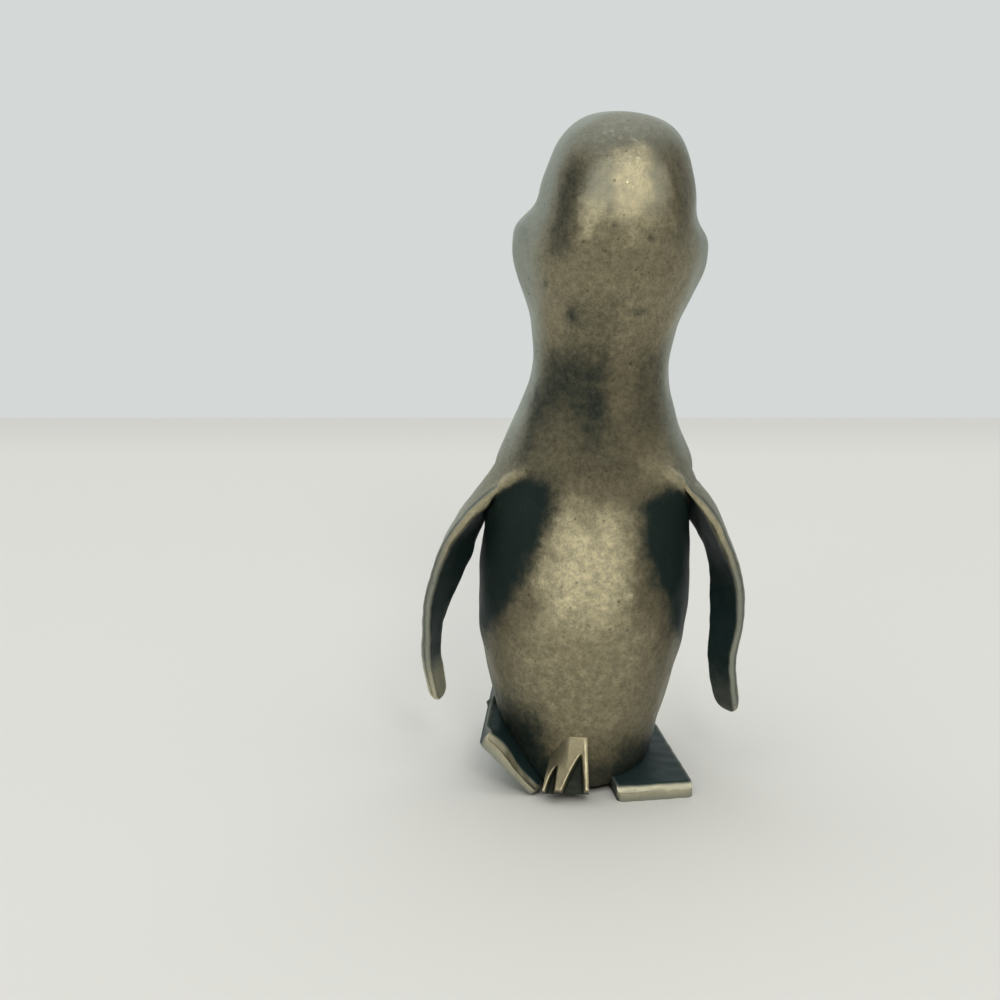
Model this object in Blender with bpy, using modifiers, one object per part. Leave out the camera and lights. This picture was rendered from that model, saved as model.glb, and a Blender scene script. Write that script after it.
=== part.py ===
"""A waddling penguin chick in pewter, soldered up from castings and plates that are slotted and pinned.

Lengths are in metres and angles in degrees. The chick faces +Y, +Z is up and it stands on the plane z = 0.
"""

import math

import bmesh
import bpy
import numpy as np
from mathutils import Matrix, Vector

# Solder film between any two pieces
JOINT_GAP = 0.0003

# Heights: the base above the table, then each cross-section of the figure above the one below it
BASE_HEIGHT = 0.0004
RIM_RISE = 0.0005
HIP_RISE = 0.0043
BELLY_RISE = 0.0118
ARMPIT_RISE = 0.0070
SHOULDER_RISE = 0.0060
NECK_RISE = 0.0094
HEAD_RISE = 0.0114
BROW_RISE = 0.0057
TEMPLE_RISE = 0.0047
CROWN_RISE = 0.0022

RIM_HEIGHT = BASE_HEIGHT + RIM_RISE
HIP_HEIGHT = RIM_HEIGHT + HIP_RISE
BELLY_HEIGHT = HIP_HEIGHT + BELLY_RISE
ARMPIT_HEIGHT = BELLY_HEIGHT + ARMPIT_RISE
SHOULDER_HEIGHT = ARMPIT_HEIGHT + SHOULDER_RISE
NECK_HEIGHT = SHOULDER_HEIGHT + NECK_RISE
HEAD_HEIGHT = NECK_HEIGHT + HEAD_RISE
BROW_HEIGHT = HEAD_HEIGHT + BROW_RISE
TEMPLE_HEIGHT = BROW_HEIGHT + TEMPLE_RISE
CROWN_HEIGHT = TEMPLE_HEIGHT + CROWN_RISE

# Widths of those cross-sections, from side to side
RIM_WIDTH = 0.0126
HIP_WIDTH = 0.0157
BELLY_WIDTH = 0.0203
ARMPIT_WIDTH = 0.0195
SHOULDER_WIDTH = 0.0184
NECK_WIDTH = 0.0129
HEAD_WIDTH = 0.0146
BROW_WIDTH = 0.0141
TEMPLE_WIDTH = 0.0109

# Reach of those cross-sections behind and before the figure's axis
RIM_BACK = 0.0079
RIM_FRONT = 0.0066
HIP_BACK = 0.0086
HIP_FRONT = 0.0088
BELLY_BACK = 0.0097
BELLY_FRONT = 0.0109
ARMPIT_BACK = 0.0092
ARMPIT_FRONT = 0.0104
SHOULDER_BACK = 0.0080
SHOULDER_FRONT = 0.0094
NECK_BACK = 0.0059
NECK_FRONT = 0.0068
HEAD_BACK = 0.0077
HEAD_FRONT = 0.0078
BROW_BACK = 0.0074
BROW_FRONT = 0.0071
TEMPLE_BACK = 0.0054
TEMPLE_FRONT = 0.0050

# The waddle: the axis sways to the figure's right, and the head turns and tips on the neck
BASE_SWAY = -0.00045
CROWN_SWAY = 0.0033
SWAY_POWER = 1.7
HEAD_TURN = 8.0
HEAD_TIP = 4.5

# Puffed cheeks
CHEEK_BULGE = 0.0020
CHEEK_ANGLE = 76.0
CHEEK_SPREAD = 34.0
CHEEK_RISE = 0.0029
CHEEK_FALL = 0.0052

# Flippers: each lies round the shoulder like a cape, in a seat, and hangs free as a thin blade below
FLIPPER_REAR_REACH = 0.0027
FLIPPER_FRONT_REACH = 0.0052
FLIPPER_TIP_REACH = 0.0016
FLIPPER_THICKNESS = 0.0013
FLIPPER_PROUD = 0.00035
FLIPPER_SEAT_OPENING = 0.0016
FLIPPER_FREE_SHARE = 0.31
SHOULDER_REAR_ANGLE = 37.0
SHOULDER_FRONT_ANGLE = 24.0
LEFT_ROOT_TWIST = 27.0
LEFT_TIP_TWIST = 15.0
RIGHT_ROOT_TWIST = 19.0
RIGHT_TIP_TWIST = 31.0
# Each route runs outward, backward and upward from the shoulder's skin
LEFT_FLIPPER_ROUTE = (
    (-0.0028, 0.0003, 0.0034),
    (-0.0004, 0.0005, 0.0000),
    (0.0016, 0.0008, -0.0031),
    (0.0035, 0.0012, -0.0065),
    (0.0050, 0.0016, -0.0105),
    (0.0060, 0.0020, -0.0150),
    (0.0061, 0.0023, -0.0182),
    (0.0053, 0.0027, -0.0228),
)
RIGHT_FLIPPER_ROUTE = (
    (-0.0028, 0.0003, 0.0034),
    (-0.0004, 0.0005, 0.0002),
    (0.0012, 0.0008, -0.0028),
    (0.0026, 0.0012, -0.0060),
    (0.0037, 0.0016, -0.0095),
    (0.0041, 0.0020, -0.0135),
    (0.0038, 0.0023, -0.0180),
    (0.0043, 0.0027, -0.0236),
)

# Feet: flat plates, the right one down on the table and the left one rolled onto its inner edge
FOOT_LENGTH = 0.0190
FOOT_WIDTH = 0.0073
FOOT_THICKNESS = 0.0014
FOOT_CORNER = 0.0006
TOE_COUNT = 3
TOE_REACH = 0.0012
FOOT_EDGE_ROUND = 0.00018
RIGHT_HEEL = (0.0035, -0.0104)
RIGHT_TOE_IN = 12.0
LEFT_HEEL = (-0.0046, -0.0094)
LEFT_TOE_IN = 2.0
LEFT_ROLL = 46.0

# Pins that locate the head and the feet
NECK_PIN_DIAMETER = 0.0030
NECK_PIN_LENGTH = 0.0120
FOOT_PIN_DIAMETER = 0.0016
FOOT_PIN_REACH = 0.0050
FOOT_PIN_SHARE = 0.55

# Tail: a short tongue with V notches between its feathers
TAIL_ROOT_RISE = 0.0016
TAIL_ROOT_DEPTH = 0.0020
TAIL_OFFSET = -0.0006
TAIL_LENGTH = 0.0070
TAIL_SLOPE = 36.0
TAIL_TOP_WIDTH = 0.0028
TAIL_TIP_WIDTH = 0.0044
TAIL_LEAN = -0.0005
TAIL_THICKNESS = 0.0018
OUTER_FEATHER_WIDTH = 0.0007
MIDDLE_FEATHER_WIDTH = 0.0012
NOTCH_DEPTH = 0.0034
NOTCH_SKEW = 0.0004

# Bill and eyes
BILL_DROP = 0.0011
BILL_LENGTH = 0.0052
BILL_ROOT = 0.0028
BILL_WIDTH = 0.0056
BILL_DEPTH = 0.0042
BILL_DROOP = 0.0010
EYE_RISE = 0.0038
EYE_ANGLE = 33.0
EYE_DIAMETER = 0.0026
EYE_SINK = 0.0004
EYE_STEM_DIAMETER = 0.0010
EYE_STEM_LENGTH = 0.0026

# Rounding of the edges of a blade and of a seat cut for it
BLADE_ROUNDING = 0.7
SEAT_ROUNDING = 0.35

# Mesh fineness
SKIN_SIDES = 32
SKIN_RINGS = 60
BLADE_SIDES = 14
BLADE_RINGS = 26
BILL_SIDES = 16
BILL_RINGS = 10
EYE_SIDES = 14
EYE_RINGS = 8
PIN_SIDES = 20
CORNER_STEPS = 4
TOE_STEPS = 6

LEFT = -1
RIGHT = 1

PEWTER = (0.33, 0.31, 0.26)
DARK_PEWTER = (0.20, 0.20, 0.18)
BRIGHT_PEWTER = (0.48, 0.46, 0.40)


def clear_scene():
    for obj in list(bpy.data.objects):
        bpy.data.objects.remove(obj)


def new_collection(name):
    collection = bpy.data.collections.new(name)
    bpy.context.scene.collection.children.link(collection)
    return collection


def pewter(name, colour, roughness):
    """A metal finish of the given colour."""
    material = bpy.data.materials.new(name)
    material.use_nodes = True
    shader = material.node_tree.nodes["Principled BSDF"]
    shader.inputs["Base Color"].default_value = (*colour, 1.0)
    shader.inputs["Roughness"].default_value = roughness
    shader.inputs["Metallic"].default_value = 1.0
    return material


def object_from(bm, name, collection):
    """A named object that holds the bmesh, with its normals outward."""
    bm.normal_update()
    bmesh.ops.recalc_face_normals(bm, faces=bm.faces)
    mesh = bpy.data.meshes.new(name)
    bm.to_mesh(mesh)
    bm.free()
    mesh.shade_smooth()
    mesh.set_sharp_from_angle(angle=math.radians(40))
    obj = bpy.data.objects.new(name, mesh)
    collection.objects.link(obj)
    return obj


def as_cutter(obj):
    obj.hide_render = True
    obj.display_type = "WIRE"
    return obj


def cut(obj, cutter):
    modifier = obj.modifiers.new("cut_" + cutter.name, "BOOLEAN")
    modifier.operation = "DIFFERENCE"
    modifier.solver = "EXACT"
    modifier.object = as_cutter(cutter)


def join(obj, other):
    modifier = obj.modifiers.new("join_" + other.name, "BOOLEAN")
    modifier.operation = "UNION"
    modifier.solver = "EXACT"
    modifier.object = as_cutter(other)


def ease(value, start, end):
    """0 before start, 1 after end and smooth between them."""
    share = min(1.0, max(0.0, (value - start) / (end - start)))
    return share * share * (3 - 2 * share)


def curve_through(points, first_tangent=None, last_tangent=None, rising=None):
    """A smooth curve through the points, as a function of its share of length, from 0 to 1.

    Rising is the index of a coordinate that is not to fall anywhere between the points.
    """
    points = np.array(points, float)
    steps = np.linalg.norm(np.diff(points, axis=0), axis=1)
    knots = np.concatenate([[0.0], np.cumsum(steps)])
    slopes = np.diff(points, axis=0) / steps[:, None]
    tangents = np.empty_like(points)
    weights = steps[1:, None] / (steps[:-1] + steps[1:])[:, None]
    tangents[1:-1] = slopes[:-1] * weights + slopes[1:] * (1 - weights)
    if rising is not None:
        steepest = 3 * np.minimum(slopes[:-1, rising], slopes[1:, rising])
        tangents[1:-1, rising] = np.minimum(tangents[1:-1, rising], steepest)
    tangents[0] = slopes[0] if first_tangent is None else first_tangent
    tangents[-1] = slopes[-1] if last_tangent is None else last_tangent

    def at(share):
        place = share * knots[-1]
        i = int(np.clip(np.searchsorted(knots, place) - 1, 0, len(steps) - 1))
        u = (place - knots[i]) / steps[i]
        start = (1 + 2 * u) * (1 - u) ** 2 * points[i] + u * (1 - u) ** 2 * steps[i] * tangents[i]
        end = u**2 * (3 - 2 * u) * points[i + 1] + u**2 * (u - 1) * steps[i] * tangents[i + 1]
        return start + end

    return at


def figure_profile():
    """The figure's height, half width, back and front, as a function of the share of the way up."""
    stations = (
        (BASE_HEIGHT, 0.0, 0.0, 0.0),
        (RIM_HEIGHT, RIM_WIDTH / 2, RIM_BACK, RIM_FRONT),
        (HIP_HEIGHT, HIP_WIDTH / 2, HIP_BACK, HIP_FRONT),
        (BELLY_HEIGHT, BELLY_WIDTH / 2, BELLY_BACK, BELLY_FRONT),
        (ARMPIT_HEIGHT, ARMPIT_WIDTH / 2, ARMPIT_BACK, ARMPIT_FRONT),
        (SHOULDER_HEIGHT, SHOULDER_WIDTH / 2, SHOULDER_BACK, SHOULDER_FRONT),
        (NECK_HEIGHT, NECK_WIDTH / 2, NECK_BACK, NECK_FRONT),
        (HEAD_HEIGHT, HEAD_WIDTH / 2, HEAD_BACK, HEAD_FRONT),
        (BROW_HEIGHT, BROW_WIDTH / 2, BROW_BACK, BROW_FRONT),
        (TEMPLE_HEIGHT, TEMPLE_WIDTH / 2, TEMPLE_BACK, TEMPLE_FRONT),
        (CROWN_HEIGHT, 0.0, 0.0, 0.0),
    )
    # The ends are level, so that the bottom and the crown close round
    opening = np.array((0.0, 1.0, 1.0, 1.0)) / math.sqrt(3)
    return curve_through(stations, opening, -opening, rising=0)


PROFILE = figure_profile()


def share_at(height):
    """The share of the way up the profile at which it has this height."""
    low, high = 0.0, 1.0
    for _ in range(40):
        middle = (low + high) / 2
        if PROFILE(middle)[0] < height:
            low = middle
        else:
            high = middle
    return (low + high) / 2


def sway(height):
    """How far the figure's axis lies to the right at this height."""
    return BASE_SWAY + (CROWN_SWAY - BASE_SWAY) * max(0.0, height / CROWN_HEIGHT) ** SWAY_POWER


def cheek(height, angle):
    """How far the cheeks swell out of the head there. The angle is 90 degrees at the face."""
    rise = height - HEAD_HEIGHT
    # They stop sooner above than below
    upright = math.exp(-((rise / CHEEK_RISE) ** 3)) if rise > 0 else math.exp(-((rise / CHEEK_FALL) ** 2))
    from_face = abs(math.degrees(math.atan2(math.cos(angle), math.sin(angle))))
    return CHEEK_BULGE * upright * math.exp(-(((from_face - CHEEK_ANGLE) / CHEEK_SPREAD) ** 2))


def skin_point(share, angle, grow=0.0):
    """The figure's skin, grown outward by some length. Angle 0 is the right side and 90 degrees the front."""
    height, half_width, back, front = PROFILE(share)
    # Growing lifts the two ends as well as the sides
    height += grow * (ease(share, 0.97, 1.0) - ease(1 - share, 0.97, 1.0))
    out = grow + cheek(height, angle)
    reach = front if math.sin(angle) > 0 else back
    x = (max(half_width, 0.0) + out) * math.cos(angle)
    y = (max(reach, 0.0) + out) * math.sin(angle)
    on_head = ease(height, NECK_HEIGHT, HEAD_HEIGHT)
    turned = Matrix.Rotation(math.radians(HEAD_TURN) * on_head, 3, "Z") @ Vector((x, y, 0.0))
    drop = turned.x * math.tan(math.radians(HEAD_TIP)) * on_head
    return Vector((turned.x + sway(height), turned.y, height - drop))


def figure_skin(name, collection, above=None, below=None):
    """The closed skin of the figure, or the part of it above or below a level cut."""
    bm = bmesh.new()
    bmesh.ops.create_uvsphere(bm, u_segments=SKIN_SIDES, v_segments=SKIN_RINGS, radius=1.0)
    for vert in bm.verts:
        share = 1 - math.acos(max(-1.0, min(1.0, vert.co.z))) / math.pi
        vert.co = skin_point(share, math.atan2(vert.co.y, vert.co.x))
    for height, keep_above in ((above, True), (below, False)):
        if height is None:
            continue
        cut_through = bmesh.ops.bisect_plane(
            bm,
            geom=bm.verts[:] + bm.edges[:] + bm.faces[:],
            plane_co=(0.0, 0.0, height),
            plane_no=(0.0, 0.0, 1.0),
            clear_inner=keep_above,
            clear_outer=not keep_above,
        )
        rim = [item for item in cut_through["geom_cut"] if isinstance(item, bmesh.types.BMEdge)]
        bmesh.ops.contextual_create(bm, geom=rim)
    return object_from(bm, name, collection)


def loft(name, collection, sides, rings, place, rounding=BLADE_ROUNDING):
    """A closed blade. Place gives its point at a share of its length, across it and through it, from -1 to 1.

    Rounding 1 makes its section an ellipse and 0 a box.
    """
    bm = bmesh.new()
    bmesh.ops.create_uvsphere(bm, u_segments=sides, v_segments=rings, radius=1.0)
    for vert in bm.verts:
        # The rings crowd toward both ends, which are round
        share = (1 - vert.co.z) / 2
        end_round = math.sqrt(max(0.0, 1 - abs(vert.co.z) ** 24))
        angle = math.atan2(vert.co.y, vert.co.x)
        across = math.copysign(abs(math.cos(angle)) ** rounding, math.cos(angle))
        through = math.copysign(abs(math.sin(angle)) ** rounding, math.sin(angle))
        vert.co = place(share, across * end_round, through * end_round)
    return object_from(bm, name, collection)


def flipper(name, collection, side, grow=0.0, opening=0.0):
    """One flipper, or its seat's shape when it is grown by the joint's gap and opened outward."""
    offsets = LEFT_FLIPPER_ROUTE if side == LEFT else RIGHT_FLIPPER_ROUTE
    root_twist = math.radians(LEFT_ROOT_TWIST if side == LEFT else RIGHT_ROOT_TWIST)
    tip_twist = math.radians(LEFT_TIP_TWIST if side == LEFT else RIGHT_TIP_TWIST)
    side_angle = math.pi if side == LEFT else 0.0
    half_span = math.radians(SHOULDER_REAR_ANGLE + SHOULDER_FRONT_ANGLE) / 2 + 2 * grow / SHOULDER_WIDTH
    rearward = math.radians(SHOULDER_REAR_ANGLE - SHOULDER_FRONT_ANGLE) / 2
    half_thickness = FLIPPER_THICKNESS / 2 + grow + opening / 2
    root = skin_point(share_at(SHOULDER_HEIGHT), side_angle)
    points = [root + Vector((side * out, -back, up)) for out, back, up in offsets]
    points[0] += (points[0] - points[1]).normalized() * grow
    route = curve_through(points)
    step = 0.5 / BLADE_RINGS

    def place(share, across, through):
        centre = Vector(route(share))
        along = Vector(route(min(1.0, share + step)) - route(max(0.0, share - step)))
        turned = root_twist + (tip_twist - root_twist) * ease(share, 0.25, 0.6)
        forward = Vector((-side * math.sin(turned), math.cos(turned), 0.0))
        outward = side * along.cross(forward).normalized()
        rear = FLIPPER_REAR_REACH + (FLIPPER_TIP_REACH - FLIPPER_REAR_REACH) * ease(share, 0.45, 1.0)
        front = FLIPPER_FRONT_REACH + (FLIPPER_TIP_REACH - FLIPPER_FRONT_REACH) * ease(share, 0.25, 0.8)
        reach = (front - rear) / 2 + ((front + rear) / 2 + grow) * across
        free = centre + forward * reach + outward * (half_thickness * through + opening / 2)
        angle = side_angle + side * (across * half_span - rearward)
        proud = FLIPPER_PROUD - FLIPPER_THICKNESS / 2 + opening / 2 + half_thickness * through
        draped = skin_point(share_at(centre.z), angle, proud)
        return draped.lerp(free, ease(share, 0.0, FLIPPER_FREE_SHARE))

    rounding = SEAT_ROUNDING if opening else BLADE_ROUNDING
    return loft(name, collection, BLADE_SIDES, BLADE_RINGS, place, rounding)


def bill(name, collection, grow=0.0):
    """The bill, or its socket's shape when it is grown by the joint's gap."""
    face = skin_point(share_at(HEAD_HEIGHT - BILL_DROP), math.pi / 2)
    forward = Matrix.Rotation(math.radians(HEAD_TURN), 3, "Z") @ Vector((0.0, 1.0, 0.0))
    up = Vector((0.0, 0.0, 1.0))
    sideways = forward.cross(up)
    start = face - forward * (BILL_ROOT + grow)
    middle = face + forward * (BILL_LENGTH / 2) - up * (BILL_DROOP / 4)
    end = face + forward * (BILL_LENGTH + grow) - up * BILL_DROOP
    route = curve_through((start, middle, end))

    def place(share, across, through):
        taper = 1 - 0.72 * ease(share, 0.3, 1.05)
        half_width = BILL_WIDTH / 2 * taper + grow
        half_depth = BILL_DEPTH / 2 * taper + grow
        return Vector(route(share)) + sideways * (half_width * across) + up * (half_depth * through)

    return loft(name, collection, BILL_SIDES, BILL_RINGS, place)


def eye_place(side):
    """The eye's centre and the direction in which it looks."""
    angle = math.pi / 2 - side * math.radians(EYE_ANGLE)
    share = share_at(HEAD_HEIGHT + EYE_RISE)
    skin = skin_point(share, angle)
    outward = (skin_point(share, angle, EYE_DIAMETER) - skin).normalized()
    return skin - outward * EYE_SINK, outward


def eye(name, collection, side, grow=0.0):
    """A bead eye on its stem, or its socket's shape when it is grown by the joint's gap."""
    centre, outward = eye_place(side)
    facing = outward.to_track_quat("Z", "Y").to_matrix().to_4x4()
    facing.translation = centre
    bead = bmesh.new()
    bmesh.ops.create_uvsphere(
        bead, u_segments=EYE_SIDES, v_segments=EYE_RINGS, radius=EYE_DIAMETER / 2 + grow, matrix=facing
    )
    bead_object = object_from(bead, name, collection)
    stem_length = EYE_STEM_LENGTH + grow
    middle = Matrix.Translation((0.0, 0.0, -stem_length / 2))
    stem_diameter = EYE_STEM_DIAMETER + 2 * grow
    stem = rod(name + "_stem", CUTTERS, stem_diameter, stem_length, facing @ middle)
    join(bead_object, stem)
    return bead_object


def rod(name, collection, diameter, length, place):
    """A round rod along its own Z, centred on the place."""
    bm = bmesh.new()
    bmesh.ops.create_cone(
        bm,
        cap_ends=True,
        segments=PIN_SIDES,
        radius1=diameter / 2,
        radius2=diameter / 2,
        depth=length,
        matrix=place,
    )
    return object_from(bm, name, collection)


def rounded_corner(corner, before, after, radius):
    """Points round a corner between two neighbouring points."""
    corner, before, after = Vector(corner), Vector(before), Vector(after)
    start = corner + (before - corner).normalized() * radius
    end = corner + (after - corner).normalized() * radius
    found = []
    for i in range(CORNER_STEPS + 1):
        u = i / CORNER_STEPS
        found.append(start * (1 - u) ** 2 + corner * (2 * u * (1 - u)) + end * u**2)
    return found


def foot_outline(grow=0.0):
    """A right foot seen from above: heel at y = 0, inner edge at x = 0, toes in front."""
    heel_inner = (-grow, -grow)
    heel_outer = (FOOT_WIDTH + grow, -grow)
    toe_line = FOOT_LENGTH - TOE_REACH + grow
    front_outer = (FOOT_WIDTH + grow, toe_line)
    front_inner = (-grow, toe_line)
    outline = rounded_corner(heel_inner, front_inner, heel_outer, FOOT_CORNER)
    outline += rounded_corner(heel_outer, heel_inner, front_outer, FOOT_CORNER)
    # Round toes run back across the front, from the outer one to the inner one
    toe_width = (FOOT_WIDTH + 2 * grow) / TOE_COUNT
    for toe in range(TOE_COUNT):
        for i in range(TOE_STEPS):
            angle = math.pi * i / TOE_STEPS
            across = toe_width * (toe + 0.5 - math.cos(angle) / 2)
            outline.append(Vector((FOOT_WIDTH + grow - across, toe_line + TOE_REACH * math.sin(angle))))
    outline.append(Vector(front_inner))
    return outline


def foot_place(side):
    """The matrix that takes a foot from its own frame to where it stands."""
    if side == RIGHT:
        return Matrix.Translation((*RIGHT_HEEL, 0.0)) @ Matrix.Rotation(math.radians(RIGHT_TOE_IN), 4, "Z")
    toe_in = Matrix.Rotation(-math.radians(LEFT_TOE_IN), 4, "Z")
    roll = Matrix.Rotation(math.radians(LEFT_ROLL), 4, "Y")
    mirror = Matrix.Scale(-1.0, 4, (1.0, 0.0, 0.0))
    return Matrix.Translation((*LEFT_HEEL, 0.0)) @ toe_in @ roll @ mirror


def foot_plate(name, collection, side, low, high, grow=0.0):
    """A plate of the foot's outline between two heights in the foot's own frame."""
    bm = bmesh.new()
    verts = [bm.verts.new((point.x, point.y, low)) for point in foot_outline(grow)]
    sole = bm.faces.new(verts)
    raised = bmesh.ops.extrude_face_region(bm, geom=[sole])
    lifted = [item for item in raised["geom"] if isinstance(item, bmesh.types.BMVert)]
    bmesh.ops.translate(bm, vec=(0.0, 0.0, high - low), verts=lifted)
    bmesh.ops.transform(bm, matrix=foot_place(side), verts=bm.verts)
    return object_from(bm, name, collection)


def foot(name, collection, side):
    plate = foot_plate(name, collection, side, 0.0, FOOT_THICKNESS)
    rounding = plate.modifiers.new("edge_round", "BEVEL")
    rounding.width = FOOT_EDGE_ROUND
    rounding.segments = 1
    rounding.limit_method = "ANGLE"
    rounding.angle_limit = math.radians(50)
    return plate


def foot_pin(name, collection, side, grow=0.0):
    """The pin that stands up through a foot into the trunk, or its hole when it is grown."""
    start = JOINT_GAP - grow
    length = FOOT_THICKNESS + FOOT_PIN_REACH - JOINT_GAP + 2 * grow
    middle = Matrix.Translation((FOOT_WIDTH / 2, FOOT_LENGTH * FOOT_PIN_SHARE, start + length / 2))
    return rod(name, collection, FOOT_PIN_DIAMETER + 2 * grow, length, foot_place(side) @ middle)


def tail_outline(grow=0.0, notched=True):
    """The tail seen from behind in its own plane: across it, and down it from its top."""
    top = TAIL_TOP_WIDTH / 2 + grow
    half_tip = TAIL_TIP_WIDTH / 2 + grow
    length = TAIL_LENGTH + grow
    outline = [Vector((-top, grow, 0.0)), Vector((top, grow, 0.0))]
    outline.append(Vector((TAIL_LEAN + half_tip, -length, 0.0)))
    if notched:
        outer = TAIL_TIP_WIDTH / 2 - OUTER_FEATHER_WIDTH
        inner = MIDDLE_FEATHER_WIDTH / 2
        # The feathers lean to the left, so each notch has its top to the right of its mouth
        for right, left in ((outer, inner), (-inner, -outer)):
            apex = TAIL_LEAN + (right + left) / 2 + NOTCH_SKEW
            outline.append(Vector((TAIL_LEAN + right, -length, 0.0)))
            outline.append(Vector((apex, NOTCH_DEPTH - length, 0.0)))
            outline.append(Vector((TAIL_LEAN + left, -length, 0.0)))
    outline.append(Vector((TAIL_LEAN - half_tip, -length, 0.0)))
    return outline


def tail(name, collection, grow=0.0, notched=True):
    """The tail, or its slot's shape when it is grown by the joint's gap."""
    half = TAIL_THICKNESS / 2 + grow
    bm = bmesh.new()
    verts = [bm.verts.new((point.x, point.y, -half)) for point in tail_outline(grow, notched)]
    back = bm.faces.new(verts)
    raised = bmesh.ops.extrude_face_region(bm, geom=[back])
    lifted = [item for item in raised["geom"] if isinstance(item, bmesh.types.BMVert)]
    bmesh.ops.translate(bm, vec=(0.0, 0.0, 2 * half), verts=lifted)
    # Its own Y runs up the tail and its own Z out of the tail's back
    stand = Matrix.Rotation(math.radians(90 - TAIL_SLOPE), 4, "X")
    back_skin = skin_point(share_at(HIP_HEIGHT + TAIL_ROOT_RISE), -math.pi / 2)
    top = back_skin + Vector((TAIL_OFFSET, TAIL_ROOT_DEPTH, 0.0))
    bmesh.ops.transform(bm, matrix=Matrix.Translation(top) @ stand, verts=bm.verts)
    return object_from(bm, name, collection)


def neck_pin(name, collection, grow=0.0):
    """The pin across the neck joint, or its hole when it is grown."""
    place = Matrix.Translation((sway(NECK_HEIGHT), (NECK_FRONT - NECK_BACK) / 2, NECK_HEIGHT))
    return rod(name, collection, NECK_PIN_DIAMETER + 2 * grow, NECK_PIN_LENGTH + 2 * grow, place)


def foot_seat(name, collection, side):
    """What the trunk loses where a foot lies against it: the plate and everything under it."""
    return foot_plate(name, collection, side, -HIP_HEIGHT, FOOT_THICKNESS + JOINT_GAP, JOINT_GAP)


def make_trunk(collection):
    trunk = figure_skin("trunk_casting", collection, below=NECK_HEIGHT - JOINT_GAP / 2)
    for side, word in ((LEFT, "left"), (RIGHT, "right")):
        cut(trunk, flipper(word + "_flipper_seat", CUTTERS, side, JOINT_GAP, FLIPPER_SEAT_OPENING))
        cut(trunk, foot_seat(word + "_foot_seat", CUTTERS, side))
        cut(trunk, foot_pin(word + "_foot_pin_hole", CUTTERS, side, JOINT_GAP))
    cut(trunk, tail("tail_slot", CUTTERS, JOINT_GAP, notched=False))
    cut(trunk, neck_pin("trunk_neck_hole", CUTTERS, JOINT_GAP))
    return trunk


def make_head(collection):
    head = figure_skin("head_casting", collection, above=NECK_HEIGHT + JOINT_GAP / 2)
    cut(head, neck_pin("head_neck_hole", CUTTERS, JOINT_GAP))
    cut(head, bill("bill_socket", CUTTERS, JOINT_GAP))
    for side, word in ((LEFT, "left"), (RIGHT, "right")):
        cut(head, eye(word + "_eye_socket", CUTTERS, side, JOINT_GAP))
    return head


def make_side(collection, side, word):
    """The pieces that come in pairs. Returns the cast ones, the plates, the pin and the eye."""
    plate = foot(word + "_foot", collection, side)
    cut(plate, foot_pin(word + "_foot_hole", CUTTERS, side, JOINT_GAP))
    return {
        "flipper": flipper(word + "_flipper", collection, side),
        "foot": plate,
        "pin": foot_pin(word + "_foot_pin", collection, side),
        "eye": eye(word + "_eye", collection, side),
    }


def stand_on_origin(parts, carrier):
    """Moves the carrier so that the origin is under the middle of the figure, on the table."""
    bpy.context.view_layer.update()
    graph = bpy.context.evaluated_depsgraph_get()
    corners = []
    for obj in parts:
        shown = obj.evaluated_get(graph)
        corners += [shown.matrix_world @ Vector(corner) for corner in shown.bound_box]
    low = [min(corner[axis] for corner in corners) for axis in range(3)]
    high = [max(corner[axis] for corner in corners) for axis in range(3)]
    carrier.location = (-(low[0] + high[0]) / 2, -(low[1] + high[1]) / 2, -low[2])


clear_scene()
PARTS = new_collection("pewter_penguin")
CUTTERS = new_collection("penguin_cutters")
CUTTERS.hide_render = True


def main():
    cast = pewter("cast_pewter", PEWTER, 0.45)
    plate = pewter("plate_pewter", DARK_PEWTER, 0.40)
    bright = pewter("bright_pewter", BRIGHT_PEWTER, 0.30)
    finishes = {
        make_trunk(PARTS): cast,
        make_head(PARTS): cast,
        tail("tail", PARTS): cast,
        bill("bill", PARTS): cast,
        neck_pin("neck_pin", PARTS): bright,
    }
    for side, word in ((LEFT, "left"), (RIGHT, "right")):
        made = make_side(PARTS, side, word)
        finishes[made["flipper"]] = plate
        finishes[made["foot"]] = plate
        finishes[made["pin"]] = bright
        finishes[made["eye"]] = bright
    carrier = bpy.data.objects.new("figure_carrier", None)
    PARTS.objects.link(carrier)
    for obj, finish in finishes.items():
        obj.data.materials.append(finish)
        obj.parent = carrier
    for cutter in CUTTERS.objects:
        cutter.parent = carrier
    stand_on_origin(list(finishes), carrier)


main()
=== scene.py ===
"""The looks of a small antiqued pewter penguin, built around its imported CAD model.

Lengths are in metres. The chick faces +Y, +Z is up, and the camera looks at its back.
"""

import math

import bmesh
import bpy
import numpy as np
from bpy.props import FloatProperty, FloatVectorProperty, IntProperty, PointerProperty
from mathutils import Matrix, Vector
from mathutils.bvhtree import BVHTree


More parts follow.
